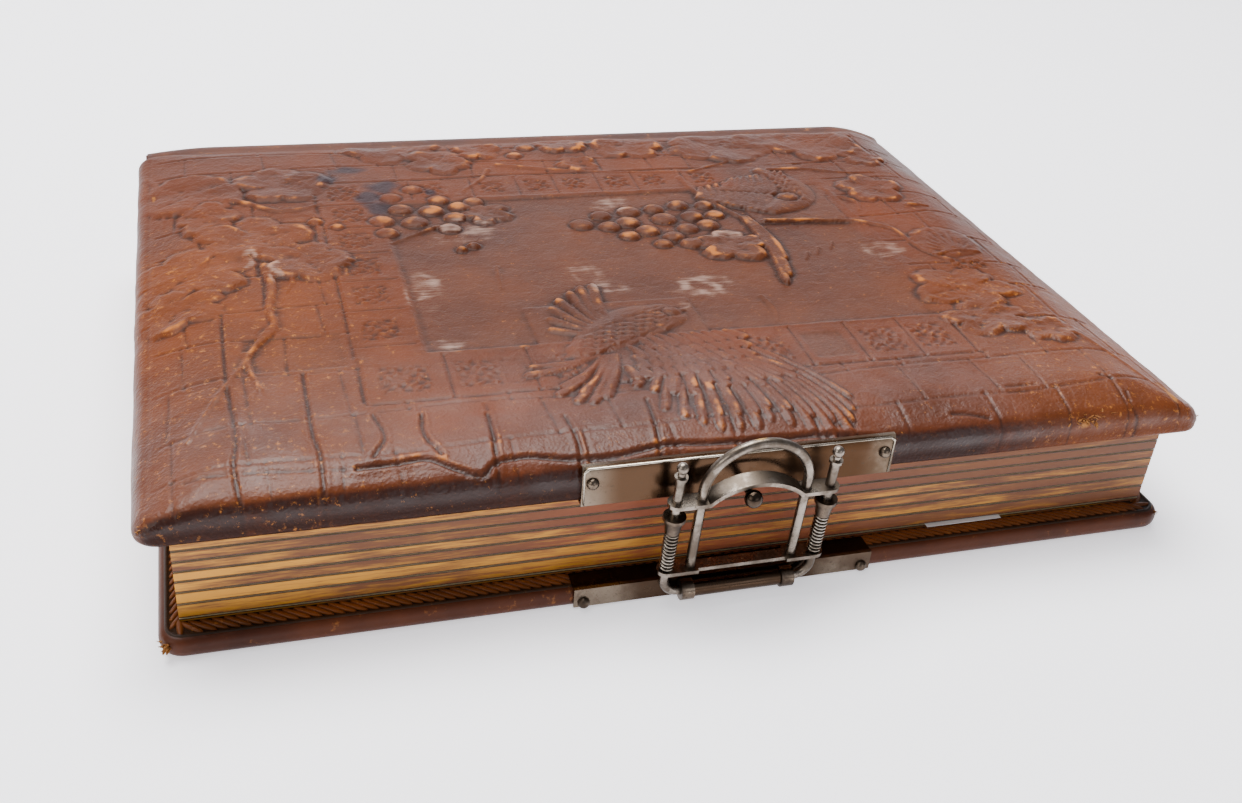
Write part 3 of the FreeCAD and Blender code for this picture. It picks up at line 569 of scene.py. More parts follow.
# the flying bird: left wing up, right wing spread towards the clasp, tail to the near left
for side_step, (x, y) in enumerate(((-44, -64), (-38, -75), (-34, -79), (-30, -80), (-26, -78))):
    feather((-22 + side_step, -57), (x, y), 1.5)
    feather((-21 + side_step, -57), (x + 2, y + 4), 1.2)
wing_tips = [
    (-13, -86), (-9, -90), (-5, -93), (-1, -95.5), (4, -96), (9, -96), (13, -94), (18, -96), (23, -99),
    (28, -101), (33, -101.5), (36, -93),
]
for number, (x, y) in enumerate(wing_tips):
    feather((-7 + number * 2.4, -62 + number * 0.4), (x, y), 1.2, 0.55)
    feather((-6 + number * 2.4, -62 + number * 0.4), (x + 1.4, y + 5), 1.0, 0.6)
covert_tips = [
    (-17, -74), (-13, -77), (-8, -79), (-3, -80), (2, -79), (7, -78), (12, -78), (17, -79), (22, -78),
    (27, -76),
]
for number, (x, y) in enumerate(covert_tips):
    feather((-9 + number * 2.2, -57 - number * 0.3), (x, y), 1.5, 0.72)
    feather((-8 + number * 2.2, -57 - number * 0.3), (x + 1.3, y + 3), 1.2, 0.78)
for row, (height, start, reach) in enumerate(((-70, -15, 9), (-65, -13, 10), (-60, -11, 10), (-55, -9, 9))):
    for number in range(reach):
        x = start + 3.4 * number + 1.6 * (row % 2)
        feather(
            (x - 1.5 - 0.25 * number, height + 6), (x + 0.5 * row, height - 1.2 + 0.25 * number), 1.8,
            0.84 - 0.03 * row, False,
        )
for number, (x, y) in enumerate(
    ((-32, -41), (-31, -35), (-29, -29), (-25.5, -24), (-21, -20), (-17, -17), (-13, -16))
):
    feather((-17 + number * 0.7, -46), (x, y), 1.7, 0.6)
cells, gap, along = across([(-26, -54), (-17, -47), (-7, -41), (2, -38)], 10)
plump = np.clip(1 - (gap / (4.5 + 4.5 * np.sin(along * 2.6))) ** 2, 0, 1) ** 0.6
down = 0.05 * np.sin(grid_x[cells] * 3.1) * np.sin(grid_y[cells] * 3.3) * plump
relief[cells] = np.maximum(relief[cells], 1.15 * plump + down)
for row in range(8):
    for place in range(-2, 3):
        x, y = -23 + 3.4 * row + 0.7 * place, -51 + 1.8 * row + 2.2 * place - 0.5 * (row % 2)
        feather((x + 2.2, y + 1.0), (x - 1.6, y - 1.2), 1.25, 1.28 - 0.10 * abs(place), False)
grape(5.0, -36.5, 3.6, 0.95)
ridge([(7.5, -36), (11.5, -33.8)], 0.6, 0.9, 0.2)
ridge([(0, -46), (4, -42), (7, -38)], 0.85, 0.8, 0.6)

# the perched bird: its breast to the right, wings folded towards the near edge, long tail
for number in range(9):
    feather((69 - 3.2 * number, 57 - 1.1 * number), (58 - 2.2 * number, 26 + 1.6 * number), 2.4, 0.85)
for number in range(7):
    feather((72 - 2.5 * number, 58 - 0.6 * number), (66 - 2.6 * number, 40 + 0.8 * number), 2.2, 1.0)
cells, gap, along = across([(70, 60), (75, 50), (75, 40), (70, 33), (62, 28)], 9)
plump = np.clip(1 - (gap / (3.0 + 4.0 * np.sin(along * 3.0))) ** 2, 0, 1) ** 0.6
relief[cells] = np.maximum(relief[cells], 1.25 * plump)
for row in range(7):
    for place in range(-1, 2):
        x, y = 74 + 2.2 * place, 57 - 3.6 * row
        feather((x + 1.0, y + 2.0), (x - 0.8, y - 1.8), 1.3, 1.38 - 0.1 * abs(place), False)
grape(71, 37, 4.8, 1.2)
ridge([(70, 57), (74.5, 50), (76.5, 42), (77.5, 33)], 1.3, 1.0, 0.7)
for number, (x, y) in enumerate(((46, -24), (49, -19), (52, -8))):
    feather((49 + number, 24), (x, y), 1.5, 0.72)
ridge([(39, 58), (40, 48), (43, 38), (47, 28), (51, 20)], 0.7, 1.3, 0.8)
for x, y, length in ((66, -1, 6), (61, -4, 5), (72, 2, 5)):
    ridge([(x, y), (x - length * 0.4, y - length * 0.8)], 0.35, 0.7)

# the shell fan near the right edge and the rubbed bead lines beside it
vine_leaf(110, -4, 12, 100, 0.35, 1, 0.05, 1.0)
for number in range(9):
    turn = math.radians(20 + 18 * number)
    rib = [
        (110 + 3 * math.cos(turn), -11 + 3 * math.sin(turn)),
        (110 + 10.5 * math.cos(turn), -9 + 14 * math.sin(turn)),
    ]
    ridge(rib, 0.7, 0.75, 1.3)
ridge([(102, -12), (110, -9.5), (118, -11)], 0.9, 1.0, 0.9)
ridge([(104, -14), (107, -20), (110, -25)], 0.7, 0.8, 0.7)
ornament(110, -19, 12, 8, 5)

# the line round the edge, the long crease over the board's near edge, and small accidents
edge_line = [(-136, 96), (-136.2, 20), (-136, -60), (-136.5, -96)]
groove(edge_line, 0.35, 0.5, 0.5)
groove([(135.5, 94), (135.2, 20), (135.6, -62), (136, -90)], 0.42, 0.55, 0.6)
ridge([(121, -66), (125, -78), (128, -90), (133, -99)], 0.45, 1.0, 0.9)
crease = [
    (-128, -93), (-110, -94), (-90, -95.8), (-80, -95.3), (-74, -95), (-68, -98.3), (-62, -100.4),
    (-58, -97.6), (-50, -97), (-40, -98.8),
]
crease += [(-30, -99.3), (-16, -97.5), (-5, -98.4), (10, -98.8), (25, -99.3), (40, -101.5)]
groove(crease[2:], 0.95, 0.6, 0.35)
groove(crease[:3], 0.3, 0.6, 0.35)
groove([(62, -97), (67, -97.8), (72, -99.4)], 0.5, 0.5)
groove([(82, -89.4), (91, -89.6)], 0.35, 0.45)
groove([(112, -88), (115, -90)], 0.5, 0.5)
groove([(116, -95), (115.5, -100), (118, -103)], 0.4, 0.4)
bulge = blurred(np.where((np.abs(grid_y + 93) < 3) & (grid_x > -95) & (grid_x < 35), 1.0, 0.0), 3)
relief += 0.55 * bulge

# worn and pressed by a century of shelves: everything a little softer, the surface never flat,
# and nothing stands up where the skin is drawn over the edges
away_from_rims = soft_step(half_front - 3.5 - np.abs(grid_x), -1, 6)
away_from_rims *= soft_step(half_depth - 3 - grid_y, -1, 5)
relief *= 0.3 + 0.7 * away_from_rims
relief = 0.5 * relief + 0.5 * blurred(relief, 0.3)
relief = relief * (0.85 + 0.3 * cloudy(7.0, 18))
slack = 0.26 * cloudy(9.0, 3) + 0.22 * cloudy(4.5, 17) * soft_step(grid_y, 20, -60)
relief += slack + 0.15 * crumple + 0.08 * finer_crumple + 0.035 * cloudy(0.5, 5)
hollow = blurred(relief, 1.6) - relief
broken = cloudy(1.1, 16)
rubbed_high = soft_step(-hollow, 0.05, 0.34) * soft_step(relief, 0.05, 0.8)
rubbed_high *= soft_step(cloudy(5.0, 6) + 0.8 * broken, -0.35, 0.8)
sunk = soft_step(hollow + 0.05 * broken, 0.03, 0.28)


def patch(x, y, reach_x, reach_y, seed, rough=1.0):
    """A ragged patch, for stains, scuffs and torn skin."""
    gap = np.hypot((grid_x - x) / reach_x, (grid_y - y) / reach_y)
    return soft_step(1.15 - gap + 0.55 * rough * cloudy(1.6, seed), 0.25, 0.75)


ink = np.zeros_like(relief)
for number, (x, y, reach_x, reach_y) in enumerate(
    (
        (-67.5, 45, 5.5, 9), (-64.5, 61, 8.5, 6.5), (-69, 53, 5, 7), (-74, 76, 7, 5), (-81, 69, 5.5, 4),
        (-48.5, 55, 3.4, 4),
    )
):
    ink = np.maximum(ink, patch(x, y, reach_x, reach_y, 20 + number, 0.9))
scuff = np.zeros_like(relief)
for number, (x, y, reach_x, reach_y) in enumerate(
    (
        (-62, -12, 6, 13), (-60, -45, 5, 5), (-42, 24, 11, 9), (-12, -8, 6, 7), (20, -22, 11, 8),
        (-8, -18, 6, 6), (12, 38, 9, 6), (86, -5, 7, 6), (10, -33, 3, 3), (-101, 3, 2.5, 7),
        (-108, 10, 2.5, 9), (36, 12, 8, 4),
    )
):
    scraped = 0.5 * patch(x, y, 1.5 * reach_x, 1.5 * reach_y, 30 + number, 0.6)
    scuff = np.maximum(scuff, scraped * soft_step(0.5 * broken - 1.5 * hollow, -0.5, 0.5))
torn = np.maximum(patch(139, -101, 5, 3, 51, 1.6), patch(-139.5, -102.5, 1.6, 1.6, 52, 1.6))
torn = np.maximum(0.8 * patch(101, -103, 2.6, 2.2, 50, 1.6), torn)
torn = torn * soft_step(broken, -0.7, 0.1)
torn = np.maximum(torn, 0.6 * patch(-134.8, 65, 1.2, 4, 53, 1.6))
torn = np.maximum(torn, 0.7 * patch(131, -95, 3, 7, 54))
relief -= 0.25 * torn
orange = soft_step(-grid_x, 55, 105) * soft_step(70 - grid_y, 0, 60)
orange += soft_step(grid_x, 70, 100) * soft_step(-grid_y, -5, 40)
orange = np.clip(0.9 * orange + 0.35 * cloudy(14.0, 8), 0, 1)


def looked_up(field, x, y):
    """The field between cells, at positions in millimetres."""
    column = np.clip((x + span_x) * raster, 0, field.shape[0] - 1.001)
    row = np.clip((y + span_y) * raster, 0, field.shape[1] - 1.001)
    i, j = column.astype(int), row.astype(int)
    u, v = column - i, row - j
    near = field[i, j] * (1 - u) + field[i + 1, j] * u
    far = field[i, j + 1] * (1 - u) + field[i + 1, j + 1] * u
    return near * (1 - v) + far * v


board_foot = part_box("front_leather")[0].z / MM
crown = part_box("front_leather")[1].z / MM - 0.5     # with room for the relief above it
rim_round = 3.0                          # turn of the skin at the cover's edge


def drawn_down(x, y):
    """How far the wadding falls below the crown, towards each edge."""
    side_gap = half_front - np.abs(x)
    near_gap, far_gap = half_depth + y, half_depth - y
    full = np.where(x < 0, 5.6 - 2.8 * y / half_depth, 8.4)      # the far left corner has kept its wadding
    side_drop = full * np.clip(1 - side_gap / 25, 0, 1) ** 1.75
    near_drop = 4.2 * np.clip(1 - near_gap / 17, 0, 1) ** 2.0
    far_drop = 2.4 * np.clip(1 - far_gap / 11, 0, 1) ** 2.0
    return (side_drop**3 + near_drop**3 + far_drop**3) ** (1 / 3)


step = 0.5
half_u, half_v = half_front - rim_round, half_depth - rim_round
u_line = np.linspace(-half_u, half_u, int(2 * half_u / step) + 1)
v_line = np.linspace(-half_v, half_v, int(2 * half_v / step) + 1)
u, v = np.meshgrid(u_line, v_line, indexing="ij")
inner_corner = corner - rim_round
a = np.clip((np.abs(u) - (half_u - inner_corner)) / inner_corner, 0, 1)
b = np.clip((np.abs(v) - (half_v - inner_corner)) / inner_corner, 0, 1)
shrink = np.maximum(a, b) / np.maximum(np.hypot(a, b), 1e-9)
in_corner = (a > 0) & (b > 0)
x = np.where(in_corner, np.sign(u) * (half_u - inner_corner + a * shrink * inner_corner), u)
y = np.where(in_corner, np.sign(v) * (half_v - inner_corner + b * shrink * inner_corner), v)
top = np.stack([x, y, crown - drawn_down(x, y) + looked_up(relief, x, y)], -1)
count_u, count_v = u.shape
rim_index = [(i, 0) for i in range(count_u)] + [(count_u - 1, j) for j in range(1, count_v)]
rim_index += [(i, count_v - 1) for i in range(count_u - 2, -1, -1)]
rim_index += [(0, j) for j in range(count_v - 2, 0, -1)]
rim_u, rim_v = np.array(rim_index).T
rim = top[rim_u, rim_v]
outward = []
for values, half in ((rim[:, 0], half_u), (rim[:, 1], half_v)):
    past_corner = values - np.sign(values) * (half - inner_corner)
    outward.append(np.where(np.abs(values) > half - inner_corner, past_corner, 0))
outward = np.column_stack(outward)
outward /= np.maximum(np.linalg.norm(outward, axis=1), 1e-9)[:, None]
edge_x, edge_y = rim[:, 0] + outward[:, 0] * rim_round, rim[:, 1] + outward[:, 1] * rim_round
rings = []
for turn in np.radians((12, 26, 40, 54, 68, 82)):
    reach = rim_round * math.sin(turn)
    px, py = rim[:, 0] + outward[:, 0] * reach, rim[:, 1] + outward[:, 1] * reach
    height = crown - drawn_down(px, py) - rim_round * (1 - math.cos(turn))
    height += looked_up(relief, px, py) * math.cos(turn)
    swell = 0.6 * looked_up(relief, px, py) * math.sin(turn)
    rings.append(np.column_stack([px + outward[:, 0] * swell, py + outward[:, 1] * swell, height]))
wall_top = rings[-1][:, 2]
wall_foot = board_foot + 1.6
edge_wave = looked_up(cloudy(7.0, 9), edge_x, edge_y)
for share in (0.25, 0.5, 0.75, 1.0):
    height = wall_top + (wall_foot - wall_top) * share
    swell = 0.25 * looked_up(relief, edge_x, edge_y) * (1 - share) + 0.12 * edge_wave
    rings.append(np.column_stack([edge_x + outward[:, 0] * swell, edge_y + outward[:, 1] * swell, height]))
for inset, height in ((0.25, 0.9), (0.8, 0.35), (1.5, 0.05), (2.2, 0.06), (2.9, 0.4)):
    px, py = edge_x - outward[:, 0] * inset, edge_y - outward[:, 1] * inset
    rings.append(np.column_stack([px, py, np.full(len(rim), board_foot + height)]))
points = np.concatenate([top.reshape(-1, 3)] + rings)
index = np.arange(count_u * count_v).reshape(count_u, count_v)
quads = np.stack([index[:-1, :-1], index[1:, :-1], index[1:, 1:], index[:-1, 1:]], -1).reshape(-1, 4)
ring_start = [index[rim_u, rim_v]] + [
    count_u * count_v + n * len(rim) + np.arange(len(rim)) for n in range(len(rings))
]
skirt = []
for over, under in zip(ring_start, ring_start[1:]):
    skirt.append(np.stack([under, np.roll(under, -1), np.roll(over, -1), over], -1))
faces = np.concatenate([quads] + skirt).tolist()
faces.append(ring_start[-1][::-1].tolist())


def embossed_skin():
    """Glazed, dyed and polished skin: tan where rubbed bare, dark in the hollows, with painted shade on the
    near edge's wall.
    """
    material, tree, shader = new_material("embossed_padded_sheepskin")
    place = add(tree, "ShaderNodeTexCoord").outputs["Object"]
    told = {
        name: add(tree, "ShaderNodeAttribute", {"attribute_name": name}).outputs["Fac"]
        for name in ("rub", "sunk", "ink", "scuff", "torn", "orange", "edge", "field", "gloss")
    }
    patches = add(tree, "ShaderNodeTexNoise", Vector=place, Scale=1 / (45.5 * MM), Detail=7.0, Roughness=0.62)
    grainy = add(tree, "ShaderNodeTexNoise", Vector=place, Scale=1 / (2.38 * MM), Detail=4.0, Roughness=0.7)
    tone = add(tree, "ShaderNodeMapRange", Value=patches.outputs["Fac"], From_Min=0.34, From_Max=0.66)

    def speckled(value, factor, noise, low, high):
        """A painted amount broken up by a noise, with a soft threshold."""
        worn = add(
            tree, "ShaderNodeMath", {"operation": "MULTIPLY_ADD"}, _0=noise.outputs["Fac"], _1=factor,
            _2=value,
        )
        smooth = {"interpolation_type": "SMOOTHSTEP"}
        return add(
            tree, "ShaderNodeMapRange", smooth, Value=worn.outputs[0], From_Min=low, From_Max=high,
        ).outputs[0]

    dyes = []
    for dark, light in (("#3C1A08", "#59280E"), ("#3C1C0D", "#532B17"), ("#4E2206", "#68320A")):
        dyes.append(
            add(
                tree, "ShaderNodeMix", {"data_type": "RGBA"}, _0=tone.outputs[0], _6=dark, _7=light,
            ).outputs[2]
        )
    colour, field_dye, warm_dye = dyes
    warm = add(tree, "ShaderNodeMath", {"operation": "MULTIPLY"}, _0=told["orange"], _1=0.7).outputs[0]
    flecks = add(tree, "ShaderNodeTexNoise", Vector=place, Scale=1 / (1.92 * MM), Detail=5.0, Roughness=0.8)
    more_flecks = {"_0": told["orange"], "_1": 0.05, "_2": flecks.outputs["Fac"]}
    fleck = add(tree, "ShaderNodeMath", {"operation": "MULTIPLY_ADD"}, **more_flecks).outputs[0]
    fleck = add(tree, "ShaderNodeMapRange", Value=fleck, From_Min=0.62, From_Max=0.72, To_Max=0.7).outputs[0]
    stretch = [1 / (size * MM) for size in (7.14, 0.909, 3.33)]
    stretched = add(tree, "ShaderNodeMapping", Vector=place, Scale=stretch).outputs[0]
    scratches = add(tree, "ShaderNodeTexNoise", Vector=stretched, Scale=1.0, Detail=4.0, Roughness=0.7)
    for amount, over in (
        (told["field"], field_dye),
        (warm, warm_dye),
        (told["sunk"], "#1D0C07"),
        # painted shade: the near edge's wall is darkened as if turned away from the light
        (speckled(told["edge"], 0.9, grainy, 0.5, 1.2), "#260E06"),
        (speckled(told["rub"], 0.9, grainy, 0.5, 1.2), "#9C5A20"),
        (fleck, "#A9692C"),
        (speckled(told["scuff"], 1.1, scratches, 0.68, 1.35), "#94796C"),
        (told["ink"], "#20151A"),
        (speckled(told["torn"], 0.9, grainy, 0.75, 1.3), "#9C662E"),
    ):
        colour = add(tree, "ShaderNodeMix", {"data_type": "RGBA"}, _0=amount, _6=colour, _7=over).outputs[2]
    connect(tree, shader, "Base Color", colour)
    dull = add(
        tree, "ShaderNodeMapRange", Value=patches.outputs["Fac"], From_Min=0.3, From_Max=0.7, To_Min=0.32,
        To_Max=0.50,
    )
    dull = dull.outputs[0]
    for name, change in (("edge", -0.14), ("torn", 0.3), ("scuff", 0.15)):
        dull = add(
            tree, "ShaderNodeMath", {"operation": "MULTIPLY_ADD"}, _0=told[name], _1=change, _2=dull,
        ).outputs[0]
    connect(tree, shader, "Roughness", dull)
    polish = add(tree, "ShaderNodeMapRange", Value=told["gloss"], To_Min=0.08, To_Max=0.34).outputs[0]
    connect(tree, shader, "Specular IOR Level", polish)
    pebbles = add(tree, "ShaderNodeTexVoronoi", Vector=place, Scale=1 / (0.87 * MM))
    wrinkles = add(tree, "ShaderNodeTexNoise", Vector=place, Scale=1 / (1.43 * MM), Detail=3.0)
    rough = add(
        tree, "ShaderNodeMath", {"operation": "ADD"}, _0=pebbles.outputs["Distance"],
        _1=wrinkles.outputs["Fac"],
    ).outputs[0]
    bump = add(tree, "ShaderNodeBump", Strength=0.5, Distance=0.14 * MM, Height=rough)
    creases = add(
        tree, "ShaderNodeTexNoise", Vector=place, Scale=1 / (3.85 * MM), Detail=5.0, Roughness=0.65,
        Distortion=0.8,
    ).outputs["Fac"]
    bump = add(
        tree, "ShaderNodeBump", Strength=0.55, Distance=0.5 * MM, Height=creases, Normal=bump.outputs[0],
    )
    connect(tree, shader, "Normal", bump.outputs[0])
    return material


embossed = embossed_skin()
front_skin = new_piece("front_cover_leather", points, faces, embossed)
flat_x, flat_y = points[:, 0], points[:, 1]
# painted shade: the near edge's wall below the crown's turn, fading out towards the right end
near_wall_painted_shade = soft_step(-flat_y, half_depth - 2.6, half_depth - 0.4)
near_wall_painted_shade *= soft_step(crown - 2.9 - points[:, 2], -1.0, 1.5)
low_wall = soft_step(board_foot + 6.5 - points[:, 2], 0, 2) * (flat_x < 120)
handled = soft_step(-flat_y, 30, 90) + soft_step(flat_x, 134, 138)
handled *= soft_step(points[:, 2], board_foot + 3, board_foot + 6)
shades = {
    "rub": np.clip(looked_up(rubbed_high, flat_x, flat_y), 0, 1),
    "sunk": looked_up(sunk, flat_x, flat_y) * 0.8,
    "ink": looked_up(ink, flat_x, flat_y) * 0.9,
    "scuff": looked_up(scuff, flat_x, flat_y),
    "torn": looked_up(torn, flat_x, flat_y) * (1 - 0.9 * low_wall),
    "orange": looked_up(orange, flat_x, flat_y),
    "edge": near_wall_painted_shade * soft_step(110 - flat_x, 0, 60) * (0.75 + 0.35 * looked_up(crumple, flat_x, flat_y)),
    "field": looked_up(np.clip(inner + dark_blocks + 0.25 * soft_step(grid_y, 20, 90), 0, 1), flat_x, flat_y),
    "gloss": handled * (0.7 + 0.5 * looked_up(crumple, flat_x, flat_y)),
}
for name, values in shades.items():
    layer = front_skin.data.attributes.new(name, "FLOAT", "POINT")
    layer.data.foreach_set("value", np.asarray(values, np.float32))
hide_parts("front_leather", "front_padding")
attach(front_skin, "front_cover")

# ---------------------------------------------------------------------------------------------
# Turned-in borders: the skin comes over the board's edge and lies 13 mm in on its inner face,
# rolled all round with a hot wheel that leaves slanting rope strands between two fine lines.
# The strands are proud and rubbed orange, the hollows between them are nearly black.


def strand_tree(name, material):
    """Geometry Nodes: one leaf-shaped strand, set slantwise along a path at a pitch."""
    tree = bpy.data.node_groups.new(name, "GeometryNodeTree")
    face = tree.interface
    face.new_socket("Path", in_out="INPUT", socket_type="NodeSocketGeometry")
    for label, value in (
        ("Pitch", 0.0036), ("Strand length", 0.0095), ("Strand width", 0.0022), ("Strand height", 0.0008),
        ("Slant", 0.6),
    ):
        socket = face.new_socket(label, in_out="INPUT", socket_type="NodeSocketFloat")
        socket.default_value = value
    face.new_socket("Strands", in_out="OUTPUT", socket_type="NodeSocketGeometry")
    given = add(tree, "NodeGroupInput")
    evenly = add(
        tree, "GeometryNodeResampleCurve", {"mode": "LENGTH"}, Curve=given.outputs["Path"],
        Length=given.outputs["Pitch"],
    )
    size = add(
        tree, "ShaderNodeCombineXYZ", X=given.outputs["Strand length"], Y=given.outputs["Strand width"],
        Z=given.outputs["Strand height"],
    )
    ball = add(tree, "GeometryNodeMeshUVSphere", Segments=10, Rings=6, Radius=0.5)
    strand = add(tree, "GeometryNodeTransform", Geometry=ball.outputs["Mesh"], Scale=size.outputs[0])
    tangent = add(tree, "GeometryNodeInputTangent")
    along = add(
        tree, "FunctionNodeAlignRotationToVector", {"axis": "X", "pivot_axis": "Z"},
        Vector=tangent.outputs[0],
    )
    slant = add(tree, "ShaderNodeCombineXYZ", Z=given.outputs["Slant"])
    turned = add(
        tree, "FunctionNodeRotateRotation", {"rotation_space": "LOCAL"}, Rotation=along.outputs[0],
        Rotate_By=slant.outputs[0],
    )
    placed = add(
        tree, "GeometryNodeInstanceOnPoints", Points=evenly.outputs[0], Instance=strand.outputs[0],
        Rotation=turned.outputs[0],
    )
    real = add(tree, "GeometryNodeRealizeInstances", Geometry=placed.outputs[0])
    smooth = add(tree, "GeometryNodeSetShadeSmooth", Geometry=real.outputs[0])
    finished = add(tree, "GeometryNodeSetMaterial", Geometry=smooth.outputs[0], Material=material)
    add(tree, "NodeGroupOutput", Strands=finished.outputs[0])
    return tree


def grown(name, tree, curve_points, closed, inputs):
    """The tree's result on a path, as a plain mesh object at the origin."""
    curve = bpy.data.curves.new(name + "_path", "CURVE")
    curve.dimensions = "3D"
    spline = curve.splines.new("POLY")
    spline.points.add(len(curve_points) - 1)
    for point, at in zip(spline.points, curve_points):
        point.co = (*[c * MM for c in at], 1)
    spline.use_cyclic_u = closed
    holder = bpy.data.objects.new(name + "_path", curve)
    bpy.context.scene.collection.objects.link(holder)
    modifier = holder.modifiers.new("nodes", "NODES")
    modifier.node_group = tree
    sockets = {item.name: item.identifier for item in tree.interface.items_tree if item.in_out == "INPUT"}
    for label, value in inputs.items():
        modifier[sockets[label]] = value
    bpy.context.view_layer.update()
    mesh = bpy.data.meshes.new_from_object(holder.evaluated_get(bpy.context.evaluated_depsgraph_get()))
    bpy.data.objects.remove(holder)
    piece = bpy.data.objects.new(name, mesh)
    bpy.context.scene.collection.objects.link(piece)
    return piece


def tooled_border(name, half_x, board_face, inward, proud, body, node):
    """A band of turned-in skin with its rope roll, proud of board_face upwards (inward 1) or down (-1)."""
    section = []
    for inset, rise in (
        (1.4, -0.35), (1.6, 0.0), (1.9, 0.28), (2.3, 0.30), (2.6, 0.0), (2.8, -0.14), (7.2, -0.14),
        (7.5, 0.0), (8.0, 0.16), (8.5, 0.02), (13.9, 0.0), (14.0, -0.35),
    ):
        section.append((inset, board_face + inward * min(rise, proud)))
    if inward < 0:
        section.reverse()
    section.reverse()
    band = drawn_round(name, section, half_x, half_depth, tooled_leather, closed=True)
    path, _ = outline(half_x, half_depth, corner, 5.0, 2.0)
    strand_height = 1.3
    strands = grown(
        name + "_strands", rope_tree,
        [(px, py, board_face + inward * (proud - strand_height / 2)) for px, py in path], True,
        {
            "Pitch": 2.7 * MM, "Strand length": 8.2 * MM, "Strand width": 1.7 * MM,
            "Strand height": strand_height * MM, "Slant": math.radians(-34) * inward,
        },
    )
    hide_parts(node)
    for piece in (band, strands):
        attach(piece, body)


tooled_leather = leather("tooled_sheepskin_border", "#3A2415", "#1B120C", "#7A4E26", 0.38)
strand_leather = leather("rubbed_rope_tooling", "#7E4418", "#4A2811", "#A86C30", 0.30)
rope_tree = strand_tree("rope_roll", strand_leather)
back_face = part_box("back_turn_in")[1].z / MM
front_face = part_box("front_turn_in")[0].z / MM
tooled_border("back_turned_border", half_back, back_face, 1, 0.53, "back_cover", "back_turn_in")
# the front border stands less proud, clear of the guard stubs
tooled_border("front_turned_border", half_front, front_face, -1, 0.18, "front_cover", "front_turn_in")

# ---------------------------------------------------------------------------------------------
# Frayed skin: where the corners have been knocked, the skin has split and its tan fibres stand
# out in curls. They grow from the covers' skins and move with them.

frayed_fibre = leather("frayed_tan_fibre", "#A8743C", "#7C4E26", "#C69658", 0.6)


def fibres(name, spots, body):
    """Curled threads, tenths of a millimetre thick; a spot is (middle, spread, direction, length, count)."""
    points, faces = [], []
    for middle, spread, direction, length, count in spots:
        for _ in range(count):
            at = np.array(middle, float) + dice.normal(0, 1, 3) * np.array(spread)
            way = np.array(direction, float) + dice.normal(0, 0.45, 3)
            way /= np.linalg.norm(way)
            bend = dice.normal(0, 0.35, 3)
            thick = dice.uniform(0.14, 0.3)
            for n in range(6):
                sideways = np.cross(way, (0.3, 0.2, 0.9))
                sideways /= np.linalg.norm(sideways)
                over = np.cross(way, sideways)
                here = thick * (1 - 0.8 * (n / 5) ** 2)
                points += [
                    at + here * sideways * 1.8, at + here * over * 0.5, at - here * sideways * 1.8,
                    at - here * over * 0.5,
                ]
                at = at + way * length * dice.uniform(0.6, 1.2) / 5
                way = way + bend * 0.4
                way /= np.linalg.norm(way)
            start = len(points) - 24
            for n in range(5):
                for m in range(4):
                    a, b = start + 4 * n + m, start + 4 * n + (m + 1) % 4
                    faces.append((a, b, b + 4, a + 4))
            faces.append((start + 3, start + 2, start + 1, start))
            faces.append((start + 20, start + 21, start + 22, start + 23))
    piece = new_piece(name, points, faces, frayed_fibre)
    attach(piece, body)


fibres(
    "back_cover_frayed_corner",
    (
        ((-135.2, -99.9, 3.6), (0.5, 0.4, 0.5), (-0.5, -0.9, 0.1), 2.2, 24),
        ((134.8, -99.9, 4.6), (0.5, 0.4, 0.4), (0.6, -0.6, 0.2), 1.4, 12),
    ),
    "back_cover",
)
fibres(
    "front_cover_frayed_corner",
    (
        ((101, -101.4, 40.6), (3.0, 0.5, 0.9), (0.2, -0.6, 0.5), 2.6, 26),
        ((137.0, -99.4, 36.6), (0.6, 0.5, 0.4), (0.5, -0.6, 0.2), 1.4, 22),
        ((-137.4, -99.6, 36.5), (0.4, 0.4, 0.5), (-0.6, -0.5, 0.3), 1.2, 12),
    ),
    "front_cover",
)

# ---------------------------------------------------------------------------------------------
# End papers, fly leaf and the loose slip: coated cream paper gone yellow and a little foxed, and
# one scrap of plain white paper left under the last leaf.


def old_paper(name, light, dark, foxing):
    material, tree, shader = new_material(name)
    place = add(tree, "ShaderNodeTexCoord").outputs["Object"]
    age = add(tree, "ShaderNodeTexNoise", Vector=place, Scale=1 / (71.4 * MM), Detail=6.0)
    colour = add(tree, "ShaderNodeMix", {"data_type": "RGBA"}, _0=age.outputs["Fac"], _6=dark, _7=light)
    spots = add(tree, "ShaderNodeTexNoise", Vector=place, Scale=1 / (6.25 * MM), Detail=3.0)
    spot = add(tree, "ShaderNodeMapRange", Value=spots.outputs["Fac"], From_Min=0.66, From_Max=0.76)
    colour = add(
        tree, "ShaderNodeMix", {"data_type": "RGBA"}, _0=spot.outputs[0], _6=colour.outputs[2], _7=foxing,
    )
    connect(tree, shader, "Base Color", colour.outputs[2])
    fibre = add(tree, "ShaderNodeTexNoise", Vector=place, Scale=1 / (0.667 * MM), Detail=2.0)
    bump = add(tree, "ShaderNodeBump", Strength=0.15, Distance=0.00005, Height=fibre.outputs["Fac"])
    connect(tree, shader, "Normal", bump.outputs[0])
    shader.inputs["Roughness"].default_value = 0.7
    return material


def dress(node, material):
    """A CAD node keeps its shape and takes a finish."""
    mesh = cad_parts[node].data
    mesh.materials.clear()
    mesh.materials.append(material)


end_paper = old_paper("yellowed_coated_end_paper", "#C2B088", "#A28D62", "#7E5C30")
for node in ("back_endpaper", "front_endpaper"):
    dress(node, end_paper)
dress("paper_slip", old_paper("plain_white_slip", "#EDEAE8", "#DAD5D0", "#C8BDB0"))

# ---------------------------------------------------------------------------------------------
# Boards, stiffener and guard stubs: grey-brown strawboard, seen only where the album is open or
# where the skin is torn at a corner.

